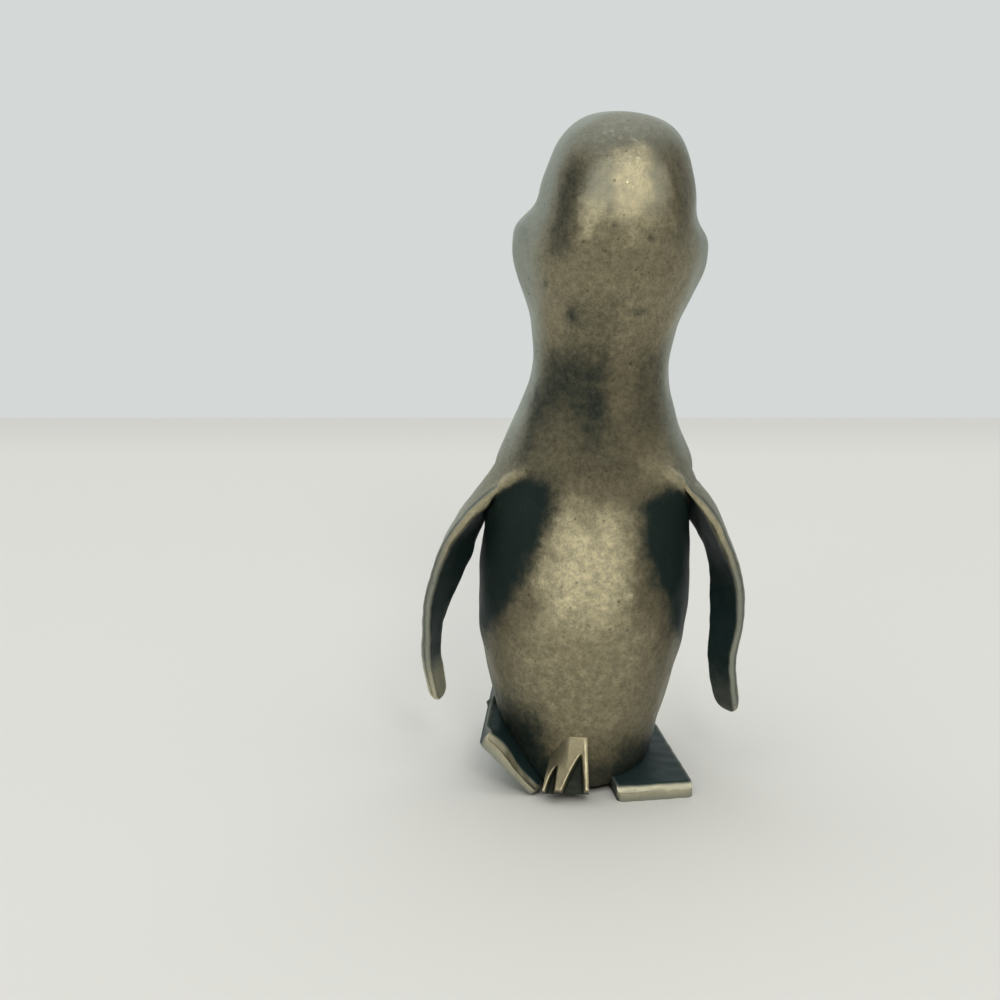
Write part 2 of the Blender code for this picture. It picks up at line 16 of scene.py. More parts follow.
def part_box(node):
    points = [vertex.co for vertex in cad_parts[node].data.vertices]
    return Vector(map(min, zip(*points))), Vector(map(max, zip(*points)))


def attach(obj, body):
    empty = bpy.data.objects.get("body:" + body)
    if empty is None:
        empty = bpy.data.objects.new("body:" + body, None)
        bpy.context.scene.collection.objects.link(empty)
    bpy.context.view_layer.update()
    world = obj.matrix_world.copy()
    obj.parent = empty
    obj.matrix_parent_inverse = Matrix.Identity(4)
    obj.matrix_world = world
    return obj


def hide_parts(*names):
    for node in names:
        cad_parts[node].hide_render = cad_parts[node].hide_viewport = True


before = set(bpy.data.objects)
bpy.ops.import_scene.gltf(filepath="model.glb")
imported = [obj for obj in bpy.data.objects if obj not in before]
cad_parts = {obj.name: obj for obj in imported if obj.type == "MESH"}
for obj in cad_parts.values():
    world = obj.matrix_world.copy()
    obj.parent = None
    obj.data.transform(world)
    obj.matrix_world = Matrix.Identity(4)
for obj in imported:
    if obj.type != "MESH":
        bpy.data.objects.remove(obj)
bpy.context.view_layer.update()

bl_info = {
    "name": "Pewter Penguin",
    "version": (1, 0, 0),
    "blender": (4, 5, 0),
    "location": "View3D > Sidebar > Penguin",
    "description": "Builds an antiqued pewter penguin chick and the stage it stands on",
    "category": "Object",
}

LEFT = -1
RIGHT = 1
SIDES = ((LEFT, "left"), (RIGHT, "right"))
MM = 0.001
WALL_TURN = math.radians(15)
# A shift of place that gives a second, unlike set of swells
ELSEWHERE = 0.02
# Shares of the reach to which flippers and other neighbours fill their corners with the trunk
WING_FULLNESS = 0.35
SOLDER_FULLNESS = 0.25
# Edges sharper than this stay sharp, in degrees
CAST_EDGE = 38.0
BLADE_EDGE = 50.0
# Kinds of sockets of the shader groups
PLACE = "NodeSocketVector"
VALUE = "NodeSocketFloat"
TINT = "NodeSocketColor"

# Cross-sections of the figure, from the base up
SECTIONS = ("rim", "hip", "belly", "armpit", "shoulder", "neck", "head", "brow", "temple")

# Each flipper's route runs outward, backward and upward from the shoulder's skin, in millimetres
FLIPPER_ROUTES = {
    LEFT: (
        (-2.8, 0.3, 3.4),
        (-0.4, 0.5, 0.0),
        (1.2, 0.8, -3.1),
        (3.47, 1.2, -6.5),
        (4.76, 1.6, -10.5),
        (5.85, 2.0, -15.0),
        (6.1, 2.3, -18.2),
        (5.3, 2.7, -22.8),
    ),
    RIGHT: (
        (-2.8, 0.3, 3.4),
        (-0.3, 0.5, 0.2),
        (1.1, 0.8, -2.8),
        (2.6, 1.2, -6.0),
        (3.85, 1.6, -9.5),
        (3.95, 2.0, -13.5),
        (3.5, 2.3, -18.0),
        (4.3, 2.7, -23.6),
    ),
}

# Notches between the tail's feathers: how far down the tail they start and how far to the right in mm,
# then, for their left and right borders, the place of the mouth in mm and the bend
TAIL_NOTCHES = (
    (0.494, 1.23, (-0.35, 0.80), (1.78, 1.00)),
    (0.639, -0.89, (-1.95, 0.55), (-1.05, 0.50)),
)

# Turns of the blades about their routes: each begins and ends at a share of the length and adds some degrees
FLIPPER_TURNS = {
    LEFT: ((-0.02, -0.01, 12.0), (0.24, 0.60, 17.0), (0.60, 0.80, -14.0)),
    RIGHT: ((-0.02, -0.01, 8.0), (0.14, 0.45, 11.5), (0.44, 0.74, 18.5)),
}

# Dark stains on the back of the head and neck: degrees from the middle of the back, height and radius in mm
STAINS = (
    (-31.7, 45.8, 0.75),
    (-58.2, 48.1, 0.45),
    (16.2, 52.9, 0.40),
    (-9.1, 54.6, 0.34),
    (20.0, 46.4, 0.65),
    (-12.2, 51.9, 0.30),
)

# Patches on the castings: strength, then where they start, are full, begin to fade and end,
# first in degrees from the middle of the back, positive to the right, and then in mm of height
BLACK_AND_SHADE_PATCHES = {
    "above the nape": (0.34, (-46, -30, 0, 16), (41.1, 43.9, 46.6, 49.4)),
    "mantle": (0.30, (-66, -50, 18, 34), (29.6, 32.0, 35.4, 37.8)),
    "right of the neck": (0.38, (19, 37, 57, 75), (32.9, 36.1, 41.2, 44.4)),
    # The temples and the left cheek are patina in part and a painted dark reflection of the room in part.
    "left temple": (0.58, (-66, -50, -46, -30), (49.0, 52.6, 58.4, 62.0)),
    "right temple": (0.36, (27, 45, 47, 65), (49.3, 53.7, 56.6, 61.0)),
    "left cheek": (0.14, (-110, -90, -64, -44), (41.0, 45.0, 52.5, 56.5)),
    "left flank": (0.25, (-140, -110, -78, -60), (5.5, 10.5, 16.0, 21.0)),
    "right flank": (0.25, (60, 78, 110, 140), (5.5, 10.5, 16.0, 21.0)),
    "above the left foot": (0.80, (-90, -70, -28, -8), (-2.0, -1.0, 5.0, 12.0)),
    "above the right foot": (0.50, (16, 36, 70, 90), (-2.0, -1.0, 3.5, 7.5)),
}
WORN_AND_HIGHLIGHT_PATCHES = {
    # The back and low back are rubbed in part and carry a painted highlight in part.
    "back": (1.0, (-36, -10, 10, 36), (13.9, 21.1, 23.9, 31.1)),
    "low back": (0.33, (-60, -20, 20, 60), (2.0, 8.0, 14.0, 20.0)),
    "right shoulder": (0.22, (30, 46, 52, 68), (29.0, 31.4, 32.0, 34.4)),
    "nape": (0.16, (-90, -50, 50, 90), (40.0, 46.0, 50.0, 56.0)),
    # The crown and the places beside it carry a painted highlight of the lamp over rubbed metal.
    "crown": (1.0, (-19, 1, 2, 22), (52.5, 57.2, 59.2, 61.8)),
    "beside the crown": (0.34, (-38, -22, 24, 40), (50.5, 56.5, 58.8, 61.5)),
}

# Finishes: the colours of their rubbed places, which also show painted highlights, and of their black
# places, which also show painted shade, then their share of the casting's grain, and how light they are at a
# glance
FINISHES = {
    "rubbed_cast_pewter": ("worn", "patina", 1.0, 1.0),
    "chased_feather_pewter": ("worn", "patina", 0.4, 0.8),
    "rubbed_flipper_pewter": ("worn", "plate_patina", 0.7, 0.9),
    "patinated_plate_pewter": ("worn", "plate_patina", 0.35, 0.7),
    "bright_bead_pewter": ("bright", "patina", 0.2, 1.0),
}


def number(name, description, default):
    return FloatProperty(name=name, description=description, default=default)


def count(name, description, default, least):
    return IntProperty(name=name, description=description, default=default, min=least)


def power(name, description, default):
    return FloatProperty(name=name, description=description, default=default, unit="POWER")


def length(name, description, default):
    return FloatProperty(name=name, description=description, default=default, unit="LENGTH", precision=5)


def angle(name, description, degrees):
    return FloatProperty(name=name, description=description, default=math.radians(degrees), subtype="ANGLE")


def colour(name, description, default):
    return FloatVectorProperty(
        name=name, description=description, default=default, subtype="COLOR", size=3, min=0.0, max=1.0
    )


def share(name, description, default):
    return FloatProperty(
        name=name, description=description, default=default, min=0.0, max=1.0, subtype="FACTOR"
    )


def heel_corner(name, description, default):
    """A place on the table, to the right of the figure's axis and before it."""
    return FloatVectorProperty(name=name, description=description, default=default, size=2, unit="LENGTH")


def section(name, height, half_width, back, front):
    """A cross-section of the figure: its height, half width, and reach behind and before the axis."""
    return FloatVectorProperty(
        name=name,
        description="Height, half width, and reach behind and before the axis",
        default=(height, half_width, back, front),
        size=4,
        unit="LENGTH",
        precision=5,
    )


class PenguinFigure(bpy.types.PropertyGroup):
    """Cross-sections of the trunk and head, and how they lean."""

    base_height: length("Base height", "Lowest point of the trunk above the table", 0.0002)
    rim: section("Rim", 0.0007, 0.0066, 0.0086, 0.0068)
    hip: section("Hip", 0.0052, 0.00785, 0.0086, 0.0088)
    belly: section("Belly", 0.0170, 0.01015, 0.0097, 0.0109)
    armpit: section("Armpit", 0.0240, 0.00975, 0.0092, 0.0104)
    shoulder: section("Shoulder", 0.0300, 0.0092, 0.0080, 0.0094)
    neck: section("Neck", 0.0394, 0.00645, 0.0059, 0.0068)
    head: section("Head", 0.0508, 0.0073, 0.0077, 0.0078)
    brow: section("Brow", 0.0565, 0.00705, 0.0074, 0.0071)
    temple: section("Temple", 0.0612, 0.00545, 0.0054, 0.0050)
    crown_height: length("Crown height", "Top of the head above the table", 0.0634)
    base_sway: length("Base sway", "How far the axis lies to the right at the table", -0.00045)
    crown_sway: length("Crown sway", "How far the axis lies to the right at the crown", 0.0035)
    sway_power: number("Sway power", "How late the axis starts to lean", 1.7)
    head_turn: angle("Head turn", "Turn of the head on the neck", 8.0)
    head_tip: angle("Head tip", "Tip of the head to its right", 4.5)
    cheek_bulge: length("Cheek bulge", "How far the cheeks swell out", 0.0020)
    cheek_angle: angle("Cheek angle", "Place of the cheeks, from the face", 76.0)
    cheek_spread: angle("Cheek spread", "Width of the cheeks round the head", 34.0)
    cheek_rise: length("Cheek rise", "Reach of the cheeks upward", 0.0029)
    cheek_fall: length("Cheek fall", "Reach of the cheeks downward", 0.0052)
    crest: length("Crest", "Height of the crest over each armpit", 0.0006)
    unevenness: length("Unevenness", "Depth of the casting's hollows and swells", 0.00006)
    sides: count("Sides", "Faces round the skin", 200, 16)
    rings: count("Rings", "Faces up the skin", 300, 16)


class PenguinFlippers(bpy.types.PropertyGroup):
    """Two thin blades that drape over the shoulders."""

    thickness: length("Thickness", "Thickness of the blade", 0.0013)
    proud: length("Proud", "How far the blade stands out of the shoulder", 0.00035)
    root_sink: length("Root sink", "How deep the top of the blade lies in the shoulder", 0.0009)
    hollow: length("Hollow", "Depth of the hollow in the inner face", 0.00022)
    arm: length("Arm", "How far the outer face swells near the shoulder", 0.0006)
    groove: length("Groove", "Depth of the line along the rear edge", 0.00012)
    flow: length("Flow", "How far from the shoulder the blade swells to meet it", 0.0022)
    rear_reach: length("Rear reach", "Reach of the blade behind its route", 0.0027)
    front_reach: length("Front reach", "Reach of the blade before its route, near the shoulder", 0.0052)
    tip_reach: length("Tip reach", "Reach of the blade to both sides at its tip", 0.0016)
    free_share: share("Free share", "Share of the length after which the blade is off the shoulder", 0.31)
    rear_angle: angle("Rear angle", "How far the root wraps behind the shoulder", 46.0)
    front_angle: angle("Front angle", "How far the root wraps before the shoulder", 24.0)


class PenguinFeet(bpy.types.PropertyGroup):
    """Two plates: the right one flat on the table, the left one rolled onto its inner edge."""

    length: length("Length", "Heel to toes", 0.0190)
    width: length("Width", "Across the foot", 0.0073)
    thickness: length("Thickness", "Thickness of the plate", 0.0014)
    corner: length("Corner", "Radius of the heel's corners", 0.0006)
    edge_round: length("Edge round", "Radius of the worn edges", 0.00022)
    toe_reach: length("Toe reach", "How far the round toes stand out", 0.0012)
    toe_count: count("Toes", "Toes on each foot", 3, 1)
    solder: length("Solder", "Reach of the solder between the trunk and the plates", 0.0006)
    groove: length("Groove", "Depth of the furrows between the toes", 0.0003)
    heel_thinning: share("Heel thinning", "How much the left plate thins at its inner heel", 0.32)
    lump: length("Lump", "Size of the lump on the left plate's outer edge", 0.0005)
    lump_place: length("Lump place", "Distance of the lump from the heel", 0.0103)
    right_heel: heel_corner("Right heel", "Inner corner of the right heel", (0.0035, -0.0104))
    right_toe_in: angle("Right toe-in", "Turn of the right foot toward the middle", 12.0)
    left_heel: heel_corner("Left heel", "Inner corner of the left heel", (-0.0046, -0.0094))
    left_toe_in: angle("Left toe-in", "Turn of the left foot toward the middle", 2.0)
    left_roll: angle("Left roll", "Roll of the left foot onto its inner edge", 46.0)


class PenguinTail(bpy.types.PropertyGroup):
    """A short tongue of three feathers."""

    root_height: length("Root height", "Height at which the tail leaves the back", 0.0068)
    root_depth: length("Root depth", "How deep the tail's top lies in the back", 0.0020)
    offset: length("Offset", "Place of the tail to the right of the axis", -0.0006)
    length: length("Length", "Top to tip", 0.0070)
    slope: angle("Slope", "Lean of the tail from upright", 36.0)
    top_width: length("Top width", "Width where it leaves the back", 0.0028)
    tip_width: length("Tip width", "Width across the three tips", 0.0044)
    lean: length("Lean", "How far the tips lie to the right of the top", -0.0005)
    thickness: length("Thickness", "Thickness of the tongue", 0.0018)
    flow: length("Flow", "How far from the tail the trunk swells to meet it", 0.0009)
    notch_depth: length("Notch depth", "Depth of the notches at the tips", 0.0014)
    crest: length("Crest", "Height of the feathers' crests", 0.00012)


class PenguinFace(bpy.types.PropertyGroup):
    """A short bill and bead eyes."""

    bill_height: length("Bill height", "Height of the bill's root", 0.0497)
    bill_length: length("Bill length", "Reach of the bill out of the face", 0.0052)
    bill_root: length("Bill root", "How deep the bill sits in the face", 0.0028)
    bill_width: length("Bill width", "Width at the root", 0.0056)
    bill_depth: length("Bill depth", "Depth at the root", 0.0042)
    bill_droop: length("Bill droop", "How far the tip hangs", 0.0010)
    eye_height: length("Eye height", "Height of the eyes", 0.0546)
    eye_angle: angle("Eye angle", "Place of the eyes, from the face", 33.0)
    eye_diameter: length("Eye diameter", "Diameter of the bead", 0.0026)
    eye_sink: length("Eye sink", "How deep the bead's centre lies in the head", 0.0004)
    lid: length("Lid", "Thickness of the raised ring round the eye", 0.0004)


class PenguinFinish(bpy.types.PropertyGroup):
    """Colours of the pewter, from rubbed bright to black, which also colour painted highlights, reflections
    and shade.
    """

    # Worn also colours the painted highlights on the back and crown.
    worn: colour("Worn", "High places that are rubbed bright", (0.82, 0.74, 0.49))
    # Clean also colours the painted reflections at the sides and on top of the head.
    clean: colour("Clean", "Sides and plates that were wiped clean", (0.295, 0.315, 0.272))
    dull: colour("Dull", "Plain pewter between high and low", (0.225, 0.20, 0.13))
    # Patina also colours the painted shade and the painted dark reflections.
    patina: colour("Patina", "Black of the hollows", (0.012, 0.026, 0.024))
    # Plate patina also colours the painted shade on the heels.
    plate_patina: colour("Plate patina", "Black of the plates", (0.018, 0.038, 0.038))
    bright: colour("Bright", "Beads and wire", (0.58, 0.56, 0.50))
    grain: length("Grain", "Size of the casting's grains", 0.00065)
    mottle: length("Mottle", "Size of the uneven patches in the finish", 0.0011)
    relief: length("Relief", "Depth of the casting's pits", 0.00004)


class PenguinStage(bpy.types.PropertyGroup):
    """Floor, wall, lights and camera."""

    floor: colour("Floor", "Pale table", (0.80, 0.80, 0.775))
    wall: colour("Wall", "Pale wall behind the figure", (0.66, 0.69, 0.68))
    room: colour("Room", "Room at the sides and on the camera's side", (0.055, 0.052, 0.045))
    wall_strength: number("Wall strength", "How much the wall's light is raised", 1.3)
    ceiling: colour("Ceiling", "Light from above", (1.0, 1.0, 0.98))
    ceiling_strength: number("Ceiling strength", "How much the light from above is raised", 1.25)
    wall_distance: length("Wall distance", "Where the table meets the wall, behind the figure", 0.140)
    key_colour: colour("Key colour", "Soft light over the camera", (1.0, 0.95, 0.84))
    key_power: power("Key power", "Soft light over the camera", 0.65)
    fill_power: power("Fill power", "Low light on the left", 0.10)
    camera_place: FloatVectorProperty(
        name="Camera place",
        description="Camera, from the figure's axis",
        default=(0.0, -0.19319, 0.08276),
        subtype="TRANSLATION",
    )
    camera_pitch: angle("Camera pitch", "How far the camera looks down", 16.2)
    camera_yaw: angle("Camera yaw", "How far the camera looks to the left", 2.4)
    lens: number("Lens", "Focal length in millimetres", 75.6)


def ease(value, start, end):
    """0 before start, 1 after end and smooth between them."""
    part = np.clip((value - start) / (end - start), 0.0, 1.0)
    return part * part * (3 - 2 * part)


def ramp(value, start, full, fading, end):
    """0 before start, 1 from full to fading, 0 after end and smooth between them."""
    return ease(value, start, full) * (1 - ease(value, fading, end))


def band(value, low, high, soft):
    """1 between low and high, 0 outside them, with soft edges."""
    return ramp(value, low - soft, low + soft, high - soft, high + soft)


def patches(table, around, height):
    """How strong each patch of a table is at places on the skin."""
    return [
        strength * ramp(around, *turns) * ramp(height / MM, *heights)
        for strength, turns, heights in table.values()
    ]


def mound(value, width):
    """A smooth mound, 1 at value 0."""
    return np.exp(-((value / width) ** 2))


def curve_through(points, first_tangent=None, last_tangent=None, rising=None):
    """A smooth curve through the points, as a function of its share of length, from 0 to 1.

    Rising is the index of a coordinate that is not to fall anywhere between the points.
    """
    points = np.array(points, float)
    steps = np.linalg.norm(np.diff(points, axis=0), axis=1)
    knots = np.concatenate([[0.0], np.cumsum(steps)])
    slopes = np.diff(points, axis=0) / steps[:, None]
    tangents = np.empty_like(points)
    weights = steps[1:, None] / (steps[:-1] + steps[1:])[:, None]
    tangents[1:-1] = slopes[:-1] * weights + slopes[1:] * (1 - weights)
    if rising is not None:
        steepest = 3 * np.minimum(slopes[:-1, rising], slopes[1:, rising])
        tangents[1:-1, rising] = np.minimum(tangents[1:-1, rising], steepest)
    tangents[0] = slopes[0] if first_tangent is None else first_tangent
    tangents[-1] = slopes[-1] if last_tangent is None else last_tangent

    def at(shares):
        places = np.asarray(shares, float) * knots[-1]
        i = np.clip(np.searchsorted(knots, places) - 1, 0, len(steps) - 1)
        step = steps[i][..., None]
        u = (places - knots[i])[..., None] / step
        start = (1 + 2 * u) * (1 - u) ** 2 * points[i] + u * (1 - u) ** 2 * step * tangents[i]
        end = u**2 * (3 - 2 * u) * points[i + 1] + u**2 * (u - 1) * step * tangents[i + 1]
        return start + end

    return at


class Figure:
    """The figure's skin, in the CAD model's frame.

    A point on it has a share of the way up and an angle, 0 at the right side and 90 degrees at the face.
    """

    def __init__(self, sizes):
        self.sizes = sizes
        ends = [(sizes.base_height, 0.0, 0.0, 0.0), (sizes.crown_height, 0.0, 0.0, 0.0)]
        stations = ends[:1] + [tuple(getattr(sizes, name)) for name in SECTIONS] + ends[1:]
        # The ends are level, so that the bottom and the crown close round
        opening = np.array((0.0, 1.0, 1.0, 1.0)) / math.sqrt(3)
        self.profile = curve_through(stations, opening, -opening, rising=0)
        steps_up = 4001
        self.shares = np.linspace(0.0, 1.0, steps_up)
        self.heights = self.profile(self.shares)[:, 0]
        # The neck pin stands on the figure's axis
        low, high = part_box("neck_pin")
        pin = (low + high) / 2
        neck_height, _, neck_back, neck_front = sizes.neck
        self.axis = np.array((pin.x - self.sway(neck_height), pin.y - (neck_front - neck_back) / 2, 0.0))

    def share_at(self, height):
        return np.interp(height, self.heights, self.shares)

    def sway(self, height):
        sizes = self.sizes
        up = np.maximum(0.0, height / sizes.crown_height) ** sizes.sway_power
        return sizes.base_sway + (sizes.crown_sway - sizes.base_sway) * up

    def on_head(self, height):
        return ease(height, self.sizes.neck[0], self.sizes.head[0])

    def cheek(self, height, around):
        """How far the cheeks swell out of the head there. They stop sooner above than below."""
        sizes = self.sizes
        rise = height - sizes.head[0]
        above = np.exp(-(np.maximum(rise, 0.0) / sizes.cheek_rise) ** 3)
        below = np.exp(-(np.minimum(rise, 0.0) / sizes.cheek_fall) ** 2)
        from_face = np.abs(np.arctan2(np.cos(around), np.sin(around)))
        return sizes.cheek_bulge * above * below * mound(from_face - sizes.cheek_angle, sizes.cheek_spread)

    def skin(self, up, around, grow=0.0):
        """Points of the skin, moved outward by some length."""
        sizes = self.sizes
        up, around = np.broadcast_arrays(np.asarray(up, float), np.asarray(around, float))
        height, half_width, back, front = np.moveaxis(self.profile(up), -1, 0)
        out = grow + self.cheek(height, around)
        reach = np.where(np.sin(around) > 0, front, back)
        x = (np.maximum(half_width, 0.0) + out) * np.cos(around)
        y = (np.maximum(reach, 0.0) + out) * np.sin(around)
        turn = sizes.head_turn * self.on_head(height)
        turned_x = x * np.cos(turn) - y * np.sin(turn)
        turned_y = x * np.sin(turn) + y * np.cos(turn)
        drop = turned_x * math.tan(sizes.head_tip) * self.on_head(height)
        return np.stack((turned_x + self.sway(height), turned_y, height - drop), -1) + self.axis

    def place_of(self, points):
        """Each point's degrees from the middle of the back, positive to the right, and its height."""
        local = points - self.axis
        height = local[:, 2]
        x = local[:, 0] - self.sway(height)
        turn = self.sizes.head_turn * self.on_head(height)
        straight_x = x * np.cos(turn) + local[:, 1] * np.sin(turn)
        straight_y = local[:, 1] * np.cos(turn) - x * np.sin(turn)
        return np.degrees(np.arctan2(straight_x, -straight_y)), height


def positions(bm):
    return np.array([vert.co for vert in bm.verts], float)


def move_to(bm, points):
    for vert, point in zip(bm.verts, points):
        vert.co = point


def paint(bm, name, values):
    """Keeps a value for each point under a name that the materials read."""
    layer = bm.verts.layers.float.get(name) or bm.verts.layers.float.new(name)
    for vert, value in zip(bm.verts, values):
        vert[layer] = value


def uneven(points, size, depth):
    """Gentle swells and hollows of that size and depth at each point, made of crossed waves."""
    waves = 16
    # The golden angle spreads the waves over all directions
    golden_angle = 2.4
    total = np.zeros(len(points))
    for i in range(waves):
        rise = 1 - 2 * (i + 0.5) / waves
        level = math.sqrt(1 - rise**2)
        turn = golden_angle * i
        heading = np.array((math.cos(turn) * level, math.sin(turn) * level, rise))
        closeness = 0.8 + 0.37 * (i % 4)
        start = 1.7 * i
        total += np.sin(points @ heading * (2 * math.pi / size) * closeness + start)
    return total * depth / math.sqrt(waves)


def together(*zones):
    """One mask that is as strong as all the zones on top of each other."""
    clear = 1.0
    for zone in zones:
        clear = clear * (1 - np.clip(zone, 0.0, 1.0))
    return 1 - clear


def flow_into(bm, neighbours, radius, fullness):
    """Fills the corners between a piece and the neighbours that stand out of it, like one casting."""
    bmesh.ops.recalc_face_normals(bm, faces=bm.faces)
    bm.normal_update()
    verts = bm.verts[:]
    points = positions(bm)
    no_gap = 1e-6
    moves = []
    for neighbour in neighbours:
        bmesh.ops.recalc_face_normals(neighbour, faces=neighbour.faces)
        tree = BVHTree.FromBMesh(neighbour)
        around = positions(neighbour)
        near = np.all((points > around.min(0) - radius) & (points < around.max(0) + radius), axis=1)
        for i in np.flatnonzero(near):
            vert = verts[i]
            nearest, facing, _, gap = tree.find_nearest(vert.co, radius)
            if gap is None or (vert.co - nearest).dot(facing) < 0:
                continue
            rise = (nearest - vert.co).dot(vert.normal) / max(gap, no_gap)
            lift = fullness * radius * (1 - gap / radius) ** 2 * float(ease(rise, 0.1, 0.5))
            # The fill never passes the middle of the corner
            moves.append((vert, vert.normal * min(lift, 0.5 * max(rise, 0.0) * gap)))
    for vert, move in moves:
        vert.co += move


def finished_piece(bm, name, node, material, sharp_degrees=CAST_EDGE):
    """Makes the bmesh a piece that stands for a CAD node, hides that node, and gives the piece the material.
    """
    bm.normal_update()
    bmesh.ops.recalc_face_normals(bm, faces=bm.faces)
    mesh = bpy.data.meshes.new(name)
    bm.to_mesh(mesh)
    bm.free()
    mesh.shade_smooth()
    mesh.set_sharp_from_angle(angle=math.radians(sharp_degrees))
    mesh.materials.append(material)
    piece = bpy.data.objects.new(name, mesh)
    bpy.context.scene.collection.objects.link(piece)
    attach(piece, "root")
    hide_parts(node)


def sphere_shape(sides, rings):
    """A round bmesh to be drawn out, with the share of the way up and the angle of each of its points."""
    bm = bmesh.new()
    bmesh.ops.create_uvsphere(bm, u_segments=sides, v_segments=rings, radius=1.0)
    points = positions(bm)
    up = 1 - np.arccos(np.clip(points[:, 2], -1.0, 1.0)) / math.pi
    return bm, up, np.arctan2(points[:, 1], points[:, 0])


def thicken(bm, thickness):
    """Raises a flat sheet to a plate of that thickness."""
    raised = bmesh.ops.extrude_face_region(bm, geom=bm.faces[:])
    lifted = [item for item in raised["geom"] if isinstance(item, bmesh.types.BMVert)]
    bmesh.ops.translate(bm, vec=(0.0, 0.0, thickness), verts=lifted)


def blade_shape(sides, rings, rounding, under_rounding):
    """A bmesh to be drawn out to a blade, with places along, across and through it.

    Along runs from 0 to 1, across and through from -1 to 1. Rounding 1 makes the upper half of the
    section an ellipse and 0 a box. The under half has its own rounding.
    """
    bm = bmesh.new()
    bmesh.ops.create_uvsphere(bm, u_segments=sides, v_segments=rings, radius=1.0)
    points = positions(bm)
    along = (1 - points[:, 2]) / 2
    bluntness = 24
    end_round = np.sqrt(np.maximum(0.0, 1 - np.abs(points[:, 2]) ** bluntness))
    around = np.arctan2(points[:, 1], points[:, 0])
    power = np.where(points[:, 1] > 0, rounding, under_rounding)
    across = np.sign(np.cos(around)) * np.abs(np.cos(around)) ** power * end_round
    through = np.sign(np.sin(around)) * np.abs(np.sin(around)) ** power * end_round
    return bm, along, across, through


def foot_matrix(feet, figure, side):
    """Takes a foot from its own frame to where it stands. Its own frame has the heel at y = 0."""
    axis = Matrix.Translation(figure.axis)
    if side == RIGHT:
        toe_in = Matrix.Rotation(feet.right_toe_in, 4, "Z")
        return axis @ Matrix.Translation((*feet.right_heel, 0.0)) @ toe_in
    toe_in = Matrix.Rotation(-feet.left_toe_in, 4, "Z")
    roll = Matrix.Rotation(feet.left_roll, 4, "Y")
    mirror = Matrix.Scale(-1.0, 4, (1.0, 0.0, 0.0))
    return axis @ Matrix.Translation((*feet.left_heel, 0.0)) @ toe_in @ roll @ mirror


def in_foot(points, feet, figure, side):
    """The points in a foot's own frame: from its inner edge, from its heel and up from its sole."""
    back = np.array(foot_matrix(feet, figure, side).inverted())
    return points @ back[:3, :3].T + back[:3, 3]


def crest_line(around):
    """Height of the crest that runs from each shoulder's back into the flipper."""
    aside = np.abs(around)
    return np.where(around > 0, 0.0313 - (aside - 50) * 0.000115, 0.0311 - (aside - 48) * 0.000111)


def shoulder_crest(around, height):
    """How near a place is to the crest over an armpit, and to the hollow below the crest, from 0 to 1."""
    aside = np.abs(around)
    along = ease(aside, 38, 60) * (1 - ease(aside, 63, 76))
    below = crest_line(around) - height
    return mound(below, 0.0008) * along, mound(below - 0.0024, 0.0014) * along


def shoulder_swell(around, height):
    """How far the trunk swells at the shoulders, more at the right one."""
    reach = np.where(around > 0, 0.00036, 0.00018)
    return reach * band(np.abs(around), 66, 120, 14) * mound(height - 0.0308, 0.0016)


def armpit_black(around, height, below_crest):
    """The black of the armpits, which runs down and forward to a point on each flank."""
    aside = np.abs(around)
    to_right = ease(around, -5, 5)
    fall = (np.maximum(0.0, 0.0290 - height) / 0.0150) ** 1.8
    rear_edge = 23 + 39 * fall + to_right * (4 + 5 * ease(height, 0.0235, 0.0265))
    front_edge = 130 - 36 * fall
    top = 0.0310 - 0.0016 * to_right
    black = ramp(aside, rear_edge - 11, rear_edge + 11, front_edge - 16, front_edge + 16)
    black *= ramp(height, 0.0120, 0.0160, top - 0.0014, top + 0.0008)
    return black * ease(below_crest, 0.0003, 0.0010 + 0.0001 * to_right)


def cast_patina_and_shade(points, figure):
    """How black the castings are: patina in the armpits, round the neck and over the feet, patina and a
    painted dark reflection beside the crown, and patina and a painted contact shade low on the trunk.
    """
    around, height = figure.place_of(points)
    below_crest = crest_line(around) - height
    around = around + uneven(points, 0.0042, 1.3) + uneven(points, 0.0013, 0.8)
    shifted = points + ELSEWHERE
    height = height + uneven(shifted, 0.0038, 0.0002) + uneven(shifted, 0.0012, 0.0001)
    armpit = armpit_black(around, height, below_crest)
    nape = band(height, 0.0362, 0.0424, 0.0017) * (1 - ease(around, -2, 20))
    nape *= 1 - 0.7 * ease(-around, 42, 72)
    spine = band(height, 0.0335, 0.0375, 0.0018) * mound(around + 1, 10.0)
    left_mantle = band(height, 0.0312, 0.0385, 0.0018) * mound(around + 56, 11.0)
    # Low on the trunk it is black, in part from patina and in part from a painted contact shade near the
    # table.
    bottom = 1 - ease(height, 0.0022, 0.0048)
    zones = [0.98 * armpit, 0.66 * nape, 0.45 * spine, 0.42 * left_mantle, 0.62 * bottom]
    zones += patches(BLACK_AND_SHADE_PATCHES, around, height)
    mm_per_degree = math.radians(1) * 6.6
    for degrees, up, radius in STAINS:
        zones.append(0.55 * mound(np.hypot((around - degrees) * mm_per_degree, height / MM - up), radius))
    return together(*zones)


